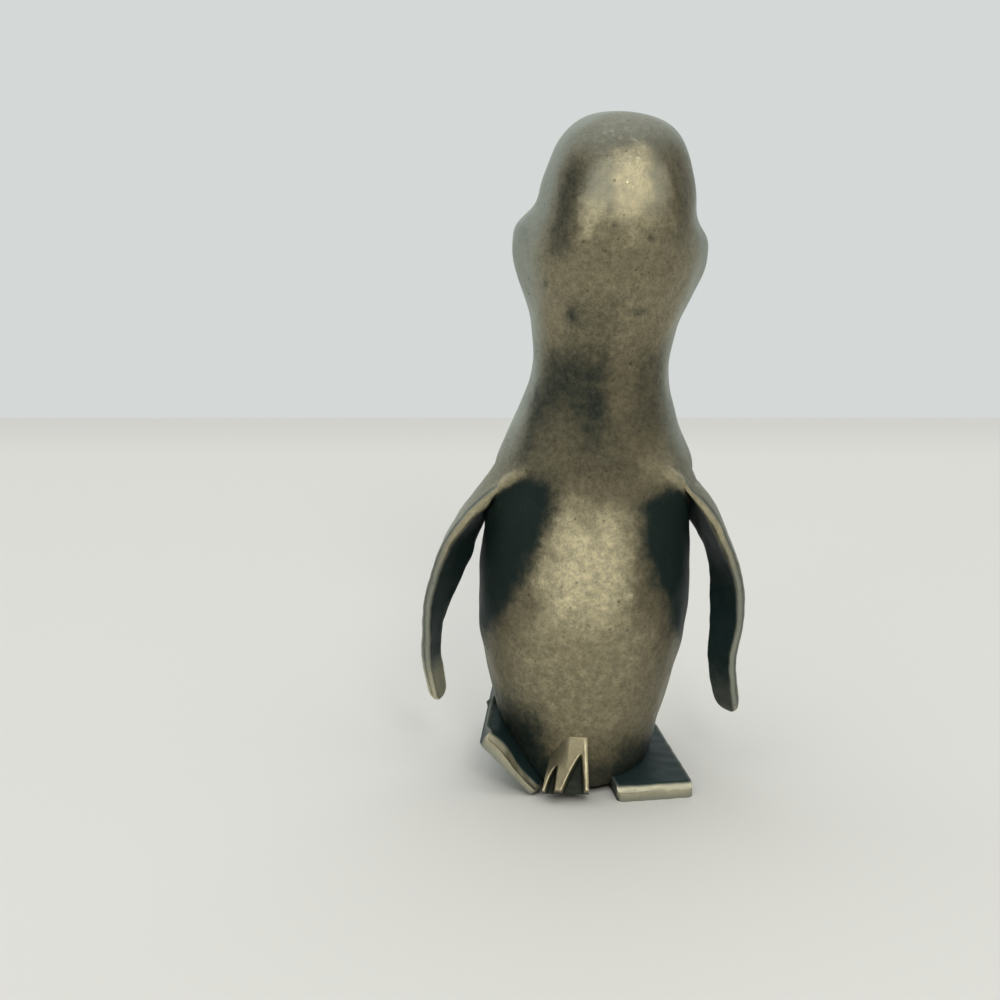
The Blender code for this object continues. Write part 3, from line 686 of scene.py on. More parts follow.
def cast_wear_and_highlights(points, figure):
    """How bright the castings are: rubbed and with a painted highlight down the back and on the back of the
    head, a painted reflection streak on the head's left, a rubbed crest over each armpit, and rubbed on the
    belly.
    """
    around, height = figure.place_of(points)
    crest, _ = shoulder_crest(around, height)
    around = around + uneven(points, 0.0036, 3.0) + uneven(points, 0.0011, 1.5)
    height = height + uneven(points + ELSEWHERE, 0.0033, 0.0005)
    aside = np.abs(around)
    # A painted reflection of a bright thing on the left, as a streak on the back of the head.
    reflection_streak = mound(around + 28, 6.0) * band(height, 0.0530, 0.0568, 0.0012)
    belly = ease(aside, 115, 160) * band(height, 0.0080, 0.0280, 0.0050)
    brow = ease(aside, 120, 160) * band(height, 0.0560, 0.0615, 0.0020)
    zones = [0.6 * reflection_streak, 0.5 * belly, 0.5 * brow, 0.40 * ease(crest, 0.15, 0.70)]
    return together(*zones, *patches(WORN_AND_HIGHLIGHT_PATCHES, around, height))


def cast_bare_and_reflections(points, figure):
    """How clean and grey the castings are at the sides and on top: plain pewter in part, and in part a
    painted reflection, of the pale wall at the sides and of the light above on the crown.
    """
    around, height = figure.place_of(points)
    aside = np.abs(around)
    # Sides: plain grey pewter with a painted reflection of the pale wall.
    sides = ease(aside, 50, 76) * (1 - 0.8 * ease(aside, 98, 135))
    sides *= 0.35 + 0.65 * ease(height, 0.0290, 0.0350)
    # Crown and top: grey and calm under the painted highlight, with a painted reflection of the light above
    # on top.
    crown = band(around, -34, 28, 9) * band(height, 0.0555, 0.0598, 0.0015)
    return together(sides, 0.9 * crown, 0.6 * ease(height, 0.0590, 0.0618))


def paint_casting(bm, figure):
    points = positions(bm)
    paint(bm, "patina", cast_patina_and_shade(points, figure))
    paint(bm, "wear", cast_wear_and_highlights(points, figure))
    paint(bm, "bare", cast_bare_and_reflections(points, figure))


def casting(figure, keep_above):
    """The head's or the trunk's skin, cut level at the neck and closed there."""
    sizes = figure.sizes
    bm, up, around = sphere_shape(sizes.sides, sizes.rings)
    points = figure.skin(up, around)
    outward = points - figure.axis
    outward[:, 0] -= figure.sway(points[:, 2])
    outward[:, 2] = 0.0
    on_axis = 1e-6
    outward /= np.maximum(np.linalg.norm(outward, axis=1), on_axis)[:, None]
    place = figure.place_of(points)
    crest, hollow = shoulder_crest(*place)
    out = uneven(points, 0.0060, sizes.unevenness) + sizes.crest * crest - 0.3 * sizes.crest * hollow
    out += shoulder_swell(*place)
    points += outward * out[:, None]
    move_to(bm, points)
    cut = bmesh.ops.bisect_plane(
        bm,
        geom=bm.verts[:] + bm.edges[:] + bm.faces[:],
        plane_co=(0.0, 0.0, sizes.neck[0]),
        plane_no=(0.0, 0.0, 1.0),
        clear_inner=keep_above,
        clear_outer=not keep_above,
    )
    rim = [item for item in cut["geom_cut"] if isinstance(item, bmesh.types.BMEdge)]
    bmesh.ops.contextual_create(bm, geom=rim)
    return bm


def seat_on_feet(bm, figure, feet):
    """Ends the trunk inside the foot plates, where it would come out below them."""
    points = positions(bm)
    for side, _ in SIDES:
        local = in_foot(points, feet, figure, side)
        x, y, _ = local.T
        covered = (x > 0) & (x < feet.width) & (y > 0) & (y < feet.length)
        inside = 0.6 * feet.thickness
        local[covered, 2] = np.maximum(local[covered, 2], inside)
        forth = np.array(foot_matrix(feet, figure, side))
        points = local @ forth[:3, :3].T + forth[:3, 3]
    move_to(bm, points)


def flipper(figure, sizes, side):
    """One flipper: draped over the shoulder at its root, then a free blade."""
    bm, along, across, through = blade_shape(64, 170, rounding=0.75, under_rounding=0.45)
    side_angle = math.pi if side == LEFT else 0.0
    root = figure.skin(figure.share_at(figure.sizes.shoulder[0]), side_angle)
    directions = np.array((side, -1.0, 1.0)) * MM
    route = curve_through([root + np.array(step) * directions for step in FLIPPER_ROUTES[side]])
    centre = route(along)
    little = 0.01
    heading = route(np.minimum(1.0, along + little)) - route(np.maximum(0.0, along - little))
    turned = np.zeros_like(along)
    for begin, finish, degrees in FLIPPER_TURNS[side]:
        turned += math.radians(degrees) * ease(along, begin, finish)
    forward = np.stack((-side * np.sin(turned), np.cos(turned), np.zeros_like(turned)), -1)
    outward = side * np.cross(heading, forward)
    outward /= np.linalg.norm(outward, axis=1)[:, None]
    rear = sizes.rear_reach + (sizes.tip_reach - sizes.rear_reach) * ease(along, 0.45, 1.0)
    front = sizes.front_reach + (sizes.tip_reach - sizes.front_reach) * ease(along, 0.25, 0.8)
    front *= 0.6 + 0.4 * ease(along, 0.05, 0.26)
    reach = (front - rear) / 2 + (front + rear) / 2 * across
    # The front edge is thinner than the rear edge, and the inner face is hollow
    thinned = 1 - 0.5 * ease(across, -0.3, 1.0) * (through > 0)
    thinned *= 1 - 0.4 * (1 - ease(along, 0.10, 0.30)) * (1 - ease(-across, 0.4, 0.9))
    depth = sizes.thickness / 2 * through * thinned
    depth += sizes.hollow * np.maximum(0.0, -through) * (1 - across**2)
    # The blade swells outward to an arm near the shoulder
    depth += sizes.arm * np.maximum(0.0, through) * (1 - across**2) * (1 - ease(along, 0.28, 0.62))
    _, groove = rim_line(along, across, through)
    reach += sizes.groove * groove
    free = centre + forward * reach[:, None] + outward * depth[:, None]
    half_span = (sizes.rear_angle + sizes.front_angle) / 2
    rearward = (sizes.rear_angle - sizes.front_angle) / 2
    around = side_angle + side * (across * half_span - rearward)
    # The front edge leaves the trunk later than the rear edge
    front_hold = 0.16 if side == RIGHT else 0.08
    held = ease(across, 0.1, 1.0) * front_hold
    proud = sizes.proud - (sizes.proud + sizes.root_sink) * (1 - ease(along - held, 0.0, 0.30))
    draped = figure.skin(figure.share_at(centre[:, 2]), around, proud + depth - sizes.thickness / 2)
    loose = ease(along - held, 0.0, sizes.free_share)[:, None]
    points = draped * (1 - loose) + free * loose
    points += outward * uneven(points, 0.0022, 0.00003)[:, None]
    if side == RIGHT:
        rear_lift = 0.0006
        points[:, 2] += rear_lift * ease(-across, 0.0, 1.0) * (1 - ease(along, 0.17, 0.30))
    move_to(bm, points)
    paint_flipper(bm, figure, side, along, across, through)
    return bm


def rim_line(along, across, through):
    """Top of a flipper's rubbed rim, widest at the shoulder, and the line that parts it from the face."""
    rim_top = 0.12 + 0.40 * (1 - ease(along, 0.25, 0.58))
    line = ease(-across, 0.75, 0.92) * mound(through - rim_top, 0.13) * ease(along, 0.12, 0.25)
    return rim_top, line


def paint_flipper(bm, figure, side, along, across, through):
    """A flipper's finish: a rubbed rear rim and tip, a black inner face, and the trunk's at its top."""
    points = positions(bm)
    rim_top, groove = rim_line(along, across, through)
    ridge = ease(-across, 0.72, 0.90) * band(through, -0.85, rim_top - 0.34, 0.14)
    on_rim = 1 - ease(through, rim_top - 0.35, rim_top - 0.05)
    shoulder_ridge = ease(-across, 0.60, 0.85) * on_rim * (1 - ease(along, 0.30, 0.56))
    tip = ease(along, 0.82, 0.95) if side == LEFT else 0.4 * ease(along, 0.95, 0.99)
    inner = ease(-through, 0.15, 0.55) * (1 - ease(np.abs(across), 0.90, 0.99))
    tip_wiped = 0.95 if side == LEFT else 0.35
    inner *= ease(along, 0.05, 0.16) * (1 - tip_wiped * ease(along, 0.80, 0.94))
    # Near the shoulder the rubbed edge is wider
    inner *= 1 - (1 - ease(along, 0.30, 0.52)) * (1 - ease(across, -0.85, -0.55))
    outer = ease(through, 0.3, 0.8)
    like_trunk = ease(through, rim_top, rim_top + 0.3) * (1 - ease(along, 0.15, 0.42))
    wear = together(0.06 * ridge, 0.42 * shoulder_ridge, 0.40 * tip, 0.1 * outer)
    patina = together(0.96 * inner * (1 - ridge), 0.6 * groove, 0.25 * outer, 0.12 * ridge)
    bare = 1 - 0.8 * shoulder_ridge
    paint(bm, "wear", wear * (1 - like_trunk) + cast_wear_and_highlights(points, figure) * like_trunk)
    paint(bm, "patina", patina * (1 - like_trunk) + 0.12 * like_trunk)
    paint(bm, "bare", bare * (1 - like_trunk) + cast_bare_and_reflections(points, figure) * like_trunk)


def foot(feet, figure, side):
    """One foot plate with worn edges, round toes and furrows between them."""
    bm = bmesh.new()
    bmesh.ops.create_grid(bm, x_segments=48, y_segments=110, size=1.0)
    points = positions(bm)
    u = (points[:, 0] + 1) / 2
    v = (points[:, 1] + 1) / 2
    toe = feet.toe_reach * np.abs(np.sin(math.pi * feet.toe_count * u)) ** 0.6
    # The rows crowd toward the heel, whose corners are round
    y = (feet.length - feet.toe_reach + toe) * (0.2 * v + 0.8 * v**2)
    short = np.maximum(0.0, feet.corner - y)
    cut = feet.corner - np.sqrt(np.maximum(0.0, feet.corner**2 - short**2))
    x = feet.width / 2 + (u - 0.5) * (feet.width - 2 * cut)
    move_to(bm, np.stack((x, y, np.zeros_like(x)), -1))
    thicken(bm, feet.thickness)
    bmesh.ops.recalc_face_normals(bm, faces=bm.faces)
    bm.normal_update()
    corner_angle = math.radians(60)
    edges = [edge for edge in bm.edges if edge.calc_face_angle(0.0) > corner_angle]
    bmesh.ops.bevel(
        bm,
        geom=edges,
        offset=feet.edge_round,
        affect="EDGES",
        segments=3,
        profile=0.5,
        material=-1,
        clamp_overlap=True,
    )
    points = positions(bm)
    x, y, z = points.T.copy()
    t = feet.thickness
    on_top = ease(z, 0.6 * t, t)
    between = np.abs(np.cos(math.pi * feet.toe_count * np.clip(x / feet.width, 0.0, 1.0))) ** 6
    inside = band(x, 0.08 * feet.width, 0.92 * feet.width, 0.0003)
    furrow = between * inside * ease(y, 0.45 * feet.length, 0.85 * feet.length)
    points[:, 2] -= feet.groove * furrow * on_top
    points[:, 2] += uneven(points, 0.0032, 0.00003) * ease(z, 0.2 * t, 0.8 * t)
    points[:, 1] += uneven(points, 0.0014, 0.00005) * (1 - ease(y, 0.0002, 0.001))
    if side == LEFT:
        # The rolled plate thins toward its inner heel, and a lump of solder holds its outer edge
        inward = 1 - x / feet.width
        points[:, 2] *= 1 - feet.heel_thinning * ease(inward, 0.05, 0.6) * (1 - ease(y, 0.0, 0.004))
        lump = mound(np.hypot(x - feet.width, y - feet.lump_place), feet.lump)
        outer = ease(x, feet.width - 0.0012, feet.width) * ease(y, 0.0005, 0.0040)
        points[:, 2] *= 1 - 0.6 * outer
        points[:, 2] += feet.lump * lump * on_top
        heel_swell = 0.0004
        points[:, 2] += heel_swell * mound(inward - 0.30, 0.25) * on_top * (1 - ease(y, 0.0, 0.0040))
        points[:, 0] += 0.5 * feet.lump * lump * ease(x, 0.9 * feet.width, feet.width)
    # The heel's upper edge is rubbed round
    points[:, 2] *= 1 - 0.42 * (1 - ease(y, 0.0, 0.0010))
    move_to(bm, points)
    paint_foot(bm, feet, x, y, z)
    bmesh.ops.transform(bm, matrix=foot_matrix(feet, figure, side), verts=bm.verts)
    return bm


def paint_foot(bm, feet, x, y, z):
    """A foot's finish, from its places in the plain plate: black, with a rubbed rim, and a heel whose upper
    edge carries wear and a painted highlight over a face with painted shade.
    """
    t = feet.thickness
    on_top = ease(z, 0.6 * t, t)
    edge = np.minimum(np.minimum(x, feet.width - x), y)
    rim = (1 - ease(edge, 0.00005, 0.00030)) * ease(z, 0.60 * t, 0.90 * t)
    heel = 1 - ease(y, 0.00004, 0.00026)
    rubbed_and_lit_heel_edge = (1 - ease(y, 0.00045, 0.00090)) * ease(z, 0.50 * t, 0.80 * t)
    flank = (1 - heel) * (1 - ease(np.minimum(x, feet.width - x), 0.00005, 0.00020)) * (1 - on_top)
    # Along the heel's upper edge wear and a painted highlight, and below it a painted shade on the heel
    # face.
    paint(bm, "wear", together(0.05 * rim, 0.06 * heel, 0.40 * rubbed_and_lit_heel_edge))
    black = together(0.90 * on_top * (1 - rim), 0.92 * flank, 0.5 * (1 - heel))
    black = together(black * (1 - 0.95 * heel), 0.22 * heel) * (1 - 0.95 * rubbed_and_lit_heel_edge)
    paint(bm, "patina", black)
    paint(bm, "bare", np.ones_like(black))


def tail(sizes, figure):
    """The tail: a tongue with furrows between its three feathers, whose borders are crests."""
    bm = bmesh.new()
    bmesh.ops.create_grid(bm, x_segments=110, y_segments=80, size=1.0)
    points = positions(bm)
    down = (1 - points[:, 1]) / 2
    half = (sizes.top_width + (sizes.tip_width - sizes.top_width) * down) / 2
    x = sizes.lean * down + half * points[:, 0]
    move_to(bm, np.stack((x, -sizes.length * down, np.full_like(x, -sizes.thickness / 2)), -1))
    thicken(bm, sizes.thickness)
    points = positions(bm)
    x, y, z = points.T.copy()
    on_back = z > 0
    down = -y / sizes.length
    centred = x - sizes.lean * down
    half = (sizes.top_width + (sizes.tip_width - sizes.top_width) * down) / 2
    furrows = np.zeros_like(x)
    crests = mound(centred - half + 0.00022, 0.00020) * ease(down, 0.22, 0.40)
    for start, apex, (left_mouth, left_bend), (right_mouth, right_bend) in TAIL_NOTCHES:
        part = np.clip((down - start) / (1 - start), 0.0, 1.0)
        left = (apex + (left_mouth - apex) * part**left_bend) * MM
        right = (apex + (right_mouth - apex) * part**right_bend) * MM
        inside = np.minimum(centred - left, right - centred)
        furrows = np.maximum(furrows, ease(inside, -0.00005, 0.00020) * ease(part, 0.0, 0.12))
        crests = np.maximum(crests, mound(centred - left + 0.00012, 0.00015) * ease(part, 0.0, 0.06))
    crests *= 1 - furrows
    drop = sizes.notch_depth * furrows * ease(down, 0.30, 0.85) - sizes.crest * crests
    # The back of the tongue falls away to the left, where it runs into the trunk
    to_left = np.clip(-centred / half, 0.0, 1.0)
    left_fall = 0.0017
    top_fall = 0.0010
    drop += left_fall * to_left**1.5 * (1 - 0.8 * ease(down, 0.50, 0.85))
    drop += top_fall * (1 - ease(down, 0.0, 0.25)) ** 2
    points[on_back, 2] -= drop[on_back]
    points[:, 2] += uneven(points, 0.0020, 0.00002)
    move_to(bm, points)
    tip = ease(down, 0.93, 1.0) * (1 - furrows)
    facet = (1 - ease(down, 0.25, 0.60)) * (1 - to_left)
    # The crests carry wear and a painted highlight along their rounded edges.
    paint(bm, "wear", np.where(on_back, together(0.12, 0.80 * crests, 0.30 * tip, 0.15 * facet), 0.0))
    dark = together(0.76 * ease(furrows, 0.10, 0.60), 0.04 * ease(to_left, 0.30, 0.80)) * (1 - 0.8 * crests)
    # The underside of the tongue is painted dark as painted shade.
    paint(bm, "patina", np.where(on_back, together(dark, 0.14 * (1 - crests)), 0.85))
    stand = Matrix.Rotation(math.pi / 2 - sizes.slope, 4, "X")
    skin = figure.skin(figure.share_at(sizes.root_height), -math.pi / 2)
    top = Vector(skin) + Vector((sizes.offset, sizes.root_depth, 0.0))
    bmesh.ops.transform(bm, matrix=Matrix.Translation(top) @ stand, verts=bm.verts)
    return bm


def bill(face, figure):
    """The bill, with a line along its mouth."""
    bm, along, across, through = blade_shape(40, 48, rounding=0.8, under_rounding=0.8)
    skin = figure.skin(figure.share_at(face.bill_height), math.pi / 2)
    turn = figure.sizes.head_turn
    forward = np.array((-math.sin(turn), math.cos(turn), 0.0))
    sideways = np.array((math.cos(turn), math.sin(turn), 0.0))
    up = np.array((0.0, 0.0, 1.0))
    start = skin - forward * face.bill_root
    middle = skin + forward * face.bill_length / 2 - up * face.bill_droop / 4
    end = skin + forward * face.bill_length - up * face.bill_droop
    route = curve_through((start, middle, end))
    taper = 1 - 0.72 * ease(along, 0.3, 1.05)
    mouth = mound(through + 0.22, 0.12)
    width = face.bill_width / 2 * taper * (1 - 0.07 * mouth)
    depth = face.bill_depth / 2 * taper
    move_to(bm, route(along) + sideways * (width * across)[:, None] + up * (depth * through)[:, None])
    paint(bm, "wear", 0.7 * ease(through, 0.2, 0.9) * ease(along, 0.3, 0.7))
    paint(bm, "patina", together(0.9 * mouth, 0.6 * (1 - ease(along, 0.35, 0.5))))
    return bm


def eye(face, figure, side):
    """A bead eye in a raised ring."""
    around = math.pi / 2 - side * face.eye_angle
    up = figure.share_at(face.eye_height)
    skin = Vector(figure.skin(up, around))
    outward = (Vector(figure.skin(up, around, face.eye_diameter)) - skin).normalized()
    facing = outward.to_track_quat("Z", "Y").to_matrix().to_4x4()
    facing.translation = skin - outward * face.eye_sink
    bm = bmesh.new()
    bmesh.ops.create_uvsphere(bm, u_segments=40, v_segments=24, radius=face.eye_diameter / 2)
    paint(bm, "wear", ease(positions(bm)[:, 2], 0.0, face.eye_diameter / 2))
    ring = bmesh.new()
    beside = Matrix.Translation((face.eye_diameter / 2, 0.0, face.eye_sink))
    upright = Matrix.Rotation(math.pi / 2, 4, "X")
    section_ring = bmesh.ops.create_circle(ring, segments=14, radius=face.lid / 2, matrix=beside @ upright)
    outline = list({edge for vert in section_ring["verts"] for edge in vert.link_edges})
    bmesh.ops.spin(
        ring,
        geom=outline,
        cent=(0, 0, 0),
        axis=(0, 0, 1),
        angle=2 * math.pi,
        steps=48,
        use_merge=True,
        use_duplicate=False,
    )
    bmesh.ops.remove_doubles(ring, verts=ring.verts, dist=1e-7)
    rim = bpy.data.meshes.new("eye_ring")
    ring.to_mesh(rim)
    ring.free()
    bm.from_mesh(rim)
    bpy.data.meshes.remove(rim)
    paint(bm, "patina", np.full(len(bm.verts), 0.40))
    bmesh.ops.transform(bm, matrix=facing, verts=bm.verts)
    return bm


def new_group(name, inputs, outputs):
    """A shader node group with named sockets, and its input and output nodes."""
    group = bpy.data.node_groups.new(name, "ShaderNodeTree")
    for way, sockets in (("INPUT", inputs), ("OUTPUT", outputs)):
        for socket, kind in sockets.items():
            group.interface.new_socket(socket, in_out=way, socket_type=kind)
    return group, group.nodes.new("NodeGroupInput"), group.nodes.new("NodeGroupOutput")


class Nodes:
    """Adds nodes to a tree and joins them up."""

    def __init__(self, tree):
        self.tree = tree

    def add(self, kind, inputs=None, **settings):
        node = self.tree.nodes.new(kind)
        for name, value in settings.items():
            setattr(node, name, value)
        for socket, value in (inputs or {}).items():
            self.feed(node.inputs[socket], value)
        return node

    def feed(self, socket, value):
        if isinstance(value, bpy.types.NodeSocket):
            self.tree.links.new(value, socket)
        else:
            socket.default_value = value

    def math(self, operation, first, second=0.0, clamp=False):
        node = self.add("ShaderNodeMath", {0: first, 1: second}, operation=operation, use_clamp=clamp)
        return node.outputs[0]

    def span(self, value, low, high, new_low=0.0, new_high=1.0):
        """The value mapped smoothly from one range to another."""
        inputs = {"Value": value, "From Min": low, "From Max": high, "To Min": new_low, "To Max": new_high}
        return self.add("ShaderNodeMapRange", inputs, interpolation_type="SMOOTHSTEP").outputs[0]

    def noise(self, place, scale, detail, roughness):
        inputs = {"Vector": place, "Scale": scale, "Detail": detail, "Roughness": roughness}
        return self.add("ShaderNodeTexNoise", inputs).outputs[0]

    def mix(self, factor, first, second):
        node = self.add("ShaderNodeMix", data_type="RGBA")
        self.feed(node.inputs[0], factor)
        self.feed(node.inputs[6], first)
        self.feed(node.inputs[7], second)
        return node.outputs[2]


def casting_grain():
    """Pits, specks, mottling and relief of cast pewter. Sizes are in metres."""
    inputs = {"Position": PLACE, "Grain": VALUE, "Mottle size": VALUE}
    outputs = dict.fromkeys(("Pits", "Specks", "Mottle", "Relief"), VALUE)
    group, given, result = new_group("casting_grain", inputs, outputs)
    nodes = Nodes(group)
    fine = nodes.math("DIVIDE", 1.0, given.outputs["Grain"])
    finest = nodes.math("MULTIPLY", fine, 3.5)
    coarse = nodes.math("DIVIDE", 1.0, given.outputs["Mottle size"])
    position = given.outputs["Position"]
    holes = nodes.add("ShaderNodeTexVoronoi", {"Vector": position, "Scale": coarse, "Randomness": 1.0})
    clouds = nodes.noise(position, coarse, 4.0, 0.6)
    spots = nodes.noise(position, fine, 5.0, 0.95)
    grains = nodes.noise(position, finest, 1.0, 0.6)
    # Only some of the holes are pits
    chosen = nodes.span(clouds, 0.45, 0.55)
    pits = nodes.math("MULTIPLY", nodes.span(holes.outputs["Distance"], 0.06, 0.18, 1.0, 0.0), chosen)
    specks = nodes.span(spots, 0.36, 0.66)
    relief = nodes.math("SUBTRACT", grains, nodes.math("ADD", specks, pits))
    mottle = nodes.span(clouds, 0.30, 0.70)
    for socket, value in (("Pits", pits), ("Specks", specks), ("Mottle", mottle), ("Relief", relief)):
        nodes.feed(result.inputs[socket], value)
    return group


def antique_finish():
    """Colour, roughness and share of bare metal of pewter between rubbed bright and black, which also carry
    painted highlights, reflections and shade.
    """
    inputs = dict.fromkeys(("Patina", "Wear", "Bare", "Pits", "Specks", "Mottle", "Speckle"), VALUE)
    inputs |= dict.fromkeys(("Worn", "Clean", "Dull", "Black"), TINT)
    outputs = {"Colour": TINT, "Roughness": VALUE, "Metallic": VALUE}
    group, given, result = new_group("antique_finish", inputs, outputs)
    nodes = Nodes(group)
    names = ("Bare", "Pits", "Specks", "Mottle", "Speckle")
    bare, pits, specks, mottle, speckle = (given.outputs[name] for name in names)
    # Patches and specks break up the rubbing and painted highlights and the edges of the black
    patchy = nodes.math("ADD", nodes.math("MULTIPLY", mottle, 0.40), 0.80)
    rubbed_and_sheen = nodes.math("MULTIPLY", given.outputs["Wear"], patchy, clamp=True)
    centred = nodes.math("SUBTRACT", nodes.math("ADD", nodes.math("MULTIPLY", specks, 0.7), mottle), 0.85)
    gritty = nodes.math("MULTIPLY", centred, speckle)
    film = nodes.math("ADD", given.outputs["Patina"], nodes.math("MULTIPLY", gritty, 0.16))
    pitted = nodes.math("MULTIPLY", nodes.math("MULTIPLY", pits, speckle), 0.55)
    dark = nodes.math("MAXIMUM", nodes.span(film, 0.02, 0.98), pitted)
    # Clean places, and places with a painted reflection, show less of the grain
    calm = nodes.math("SUBTRACT", 1.0, nodes.math("MULTIPLY", bare, 0.75))
    depth = nodes.math("MULTIPLY", nodes.math("MULTIPLY", specks, calm), speckle)
    shade = nodes.math("SUBTRACT", 1.20, nodes.math("MULTIPLY", depth, 0.52))
    plain = nodes.mix(bare, given.outputs["Dull"], given.outputs["Clean"])
    metal = nodes.mix(rubbed_and_sheen, plain, given.outputs["Worn"])
    metal = nodes.add("ShaderNodeVectorMath", {0: metal, "Scale": shade}, operation="SCALE").outputs[0]
    nodes.feed(result.inputs["Colour"], nodes.mix(dark, metal, given.outputs["Black"]))
    smooth = nodes.math("SUBTRACT", 0.47, nodes.math("MULTIPLY", rubbed_and_sheen, 0.13))
    nodes.feed(result.inputs["Roughness"], smooth)
    # The black, patina and painted shade alike, is a film over the metal
    nodes.feed(result.inputs["Metallic"], nodes.math("SUBTRACT", 1.0, nodes.math("MULTIPLY", dark, 0.9)))
    return group


def pewter(name, finish, worn, black, speckle, edge):
    """Antiqued pewter that reads each piece's own patina and painted shade, wear and painted highlights, and
    bareness and painted reflections.

    Speckle is the share of the casting's grain that it shows, and edge is how light it is at a glance.
    """
    material = bpy.data.materials.new(name)
    material.use_nodes = True
    nodes = Nodes(material.node_tree)
    shader = material.node_tree.nodes["Principled BSDF"]
    shader.inputs["Specular IOR Level"].default_value = 0.15
    shader.inputs["Specular Tint"].default_value = (edge, edge, edge, 1.0)
    place = nodes.add("ShaderNodeTexCoord").outputs["Object"]
    grain_group = bpy.data.node_groups.get("casting_grain") or casting_grain()
    finish_group = bpy.data.node_groups.get("antique_finish") or antique_finish()
    grain = nodes.add("ShaderNodeGroup", node_tree=grain_group)
    for socket, value in (("Position", place), ("Grain", finish.grain), ("Mottle size", finish.mottle)):
        nodes.feed(grain.inputs[socket], value)
    surface = nodes.add("ShaderNodeGroup", node_tree=finish_group)
    for attribute, socket in (("patina", "Patina"), ("wear", "Wear"), ("bare", "Bare")):
        painted = nodes.add("ShaderNodeAttribute", attribute_name=attribute)
        nodes.feed(surface.inputs[socket], painted.outputs["Fac"])
    for socket in ("Pits", "Specks", "Mottle"):
        nodes.feed(surface.inputs[socket], grain.outputs[socket])
    nodes.feed(surface.inputs["Speckle"], speckle)
    for socket, tone in (("Worn", worn), ("Clean", finish.clean), ("Dull", finish.dull), ("Black", black)):
        nodes.feed(surface.inputs[socket], (*tone, 1.0))
    relief = {"Height": grain.outputs["Relief"], "Distance": finish.relief * speckle}
    nodes.feed(shader.inputs["Normal"], nodes.add("ShaderNodeBump", relief).outputs["Normal"])
    nodes.feed(shader.inputs["Base Color"], surface.outputs["Colour"])
    for socket in ("Roughness", "Metallic"):
        nodes.feed(shader.inputs[socket], surface.outputs[socket])
    return material


def finish_named(name):
    """The finish of that name, made when it is first asked for."""
    made = bpy.data.materials.get(name)
    if made:
        return made
    finish = bpy.context.scene.penguin_finish
    worn, black, speckle, edge = FINISHES[name]
    return pewter(name, finish, getattr(finish, worn), getattr(finish, black), speckle, edge)


class PENGUIN_OT_trunk(bpy.types.Operator):
    """Builds the trunk, which runs into the flippers, the tail and the feet"""

    bl_idname = "penguin.trunk"
    bl_label = "Trunk"

    def execute(self, context):
        scene = context.scene
        figure = Figure(scene.penguin_figure)
        feet = scene.penguin_feet
        bm = casting(figure, keep_above=False)
        paint_casting(bm, figure)
        seat_on_feet(bm, figure, feet)
        wings = [flipper(figure, scene.penguin_flippers, side) for side, _ in SIDES]
        plates = [foot(feet, figure, side) for side, _ in SIDES]
        feathers = tail(scene.penguin_tail, figure)
        flow_into(bm, wings, scene.penguin_flippers.flow, WING_FULLNESS)
        flow_into(bm, [feathers], scene.penguin_tail.flow, SOLDER_FULLNESS)
        flow_into(bm, plates, feet.solder, SOLDER_FULLNESS)
        for neighbour in wings + plates + [feathers]:
            neighbour.free()
        finished_piece(bm, "trunk", "trunk_casting", finish_named("rubbed_cast_pewter"))
        return {"FINISHED"}


class PENGUIN_OT_head(bpy.types.Operator):
    """Builds the head with its puffed cheeks"""

    bl_idname = "penguin.head"
    bl_label = "Head"

    def execute(self, context):
        figure = Figure(context.scene.penguin_figure)
        bm = casting(figure, keep_above=True)
        paint_casting(bm, figure)
        finished_piece(bm, "head", "head_casting", finish_named("rubbed_cast_pewter"))
        return {"FINISHED"}


class PENGUIN_OT_flippers(bpy.types.Operator):
    """Builds the two flippers"""

    bl_idname = "penguin.flippers"
    bl_label = "Flippers"

    def execute(self, context):
        figure = Figure(context.scene.penguin_figure)
        sizes = context.scene.penguin_flippers
        material = finish_named("rubbed_flipper_pewter")
        trunk = casting(figure, keep_above=False)
        for side, word in SIDES:
            bm = flipper(figure, sizes, side)
            flow_into(bm, [trunk], sizes.flow, WING_FULLNESS)
            finished_piece(bm, word + "_wing", word + "_flipper", material, BLADE_EDGE)
        trunk.free()
        return {"FINISHED"}


class PENGUIN_OT_feet(bpy.types.Operator):
    """Builds the two feet"""

    bl_idname = "penguin.feet"
    bl_label = "Feet"

    def execute(self, context):
        figure = Figure(context.scene.penguin_figure)
        material = finish_named("patinated_plate_pewter")
        for side, word in SIDES:
            bm = foot(context.scene.penguin_feet, figure, side)
            finished_piece(bm, word + "_foot_plate", word + "_foot", material)
        return {"FINISHED"}


class PENGUIN_OT_tail(bpy.types.Operator):
    """Builds the tail"""

    bl_idname = "penguin.tail"
    bl_label = "Tail"

    def execute(self, context):
        figure = Figure(context.scene.penguin_figure)
        material = finish_named("chased_feather_pewter")
        bm = tail(context.scene.penguin_tail, figure)
        finished_piece(bm, "tail_feathers", "tail", material, BLADE_EDGE)
        return {"FINISHED"}


class PENGUIN_OT_face(bpy.types.Operator):
    """Builds the bill and the eyes"""

    bl_idname = "penguin.face"
    bl_label = "Face"

    def execute(self, context):
        figure = Figure(context.scene.penguin_figure)
        face = context.scene.penguin_face
        finished_piece(bill(face, figure), "beak", "bill", finish_named("rubbed_cast_pewter"))
        material = finish_named("bright_bead_pewter")
        for side, word in SIDES:
            bm = eye(face, figure, side)
            finished_piece(bm, word + "_bead", word + "_eye", material)
        return {"FINISHED"}


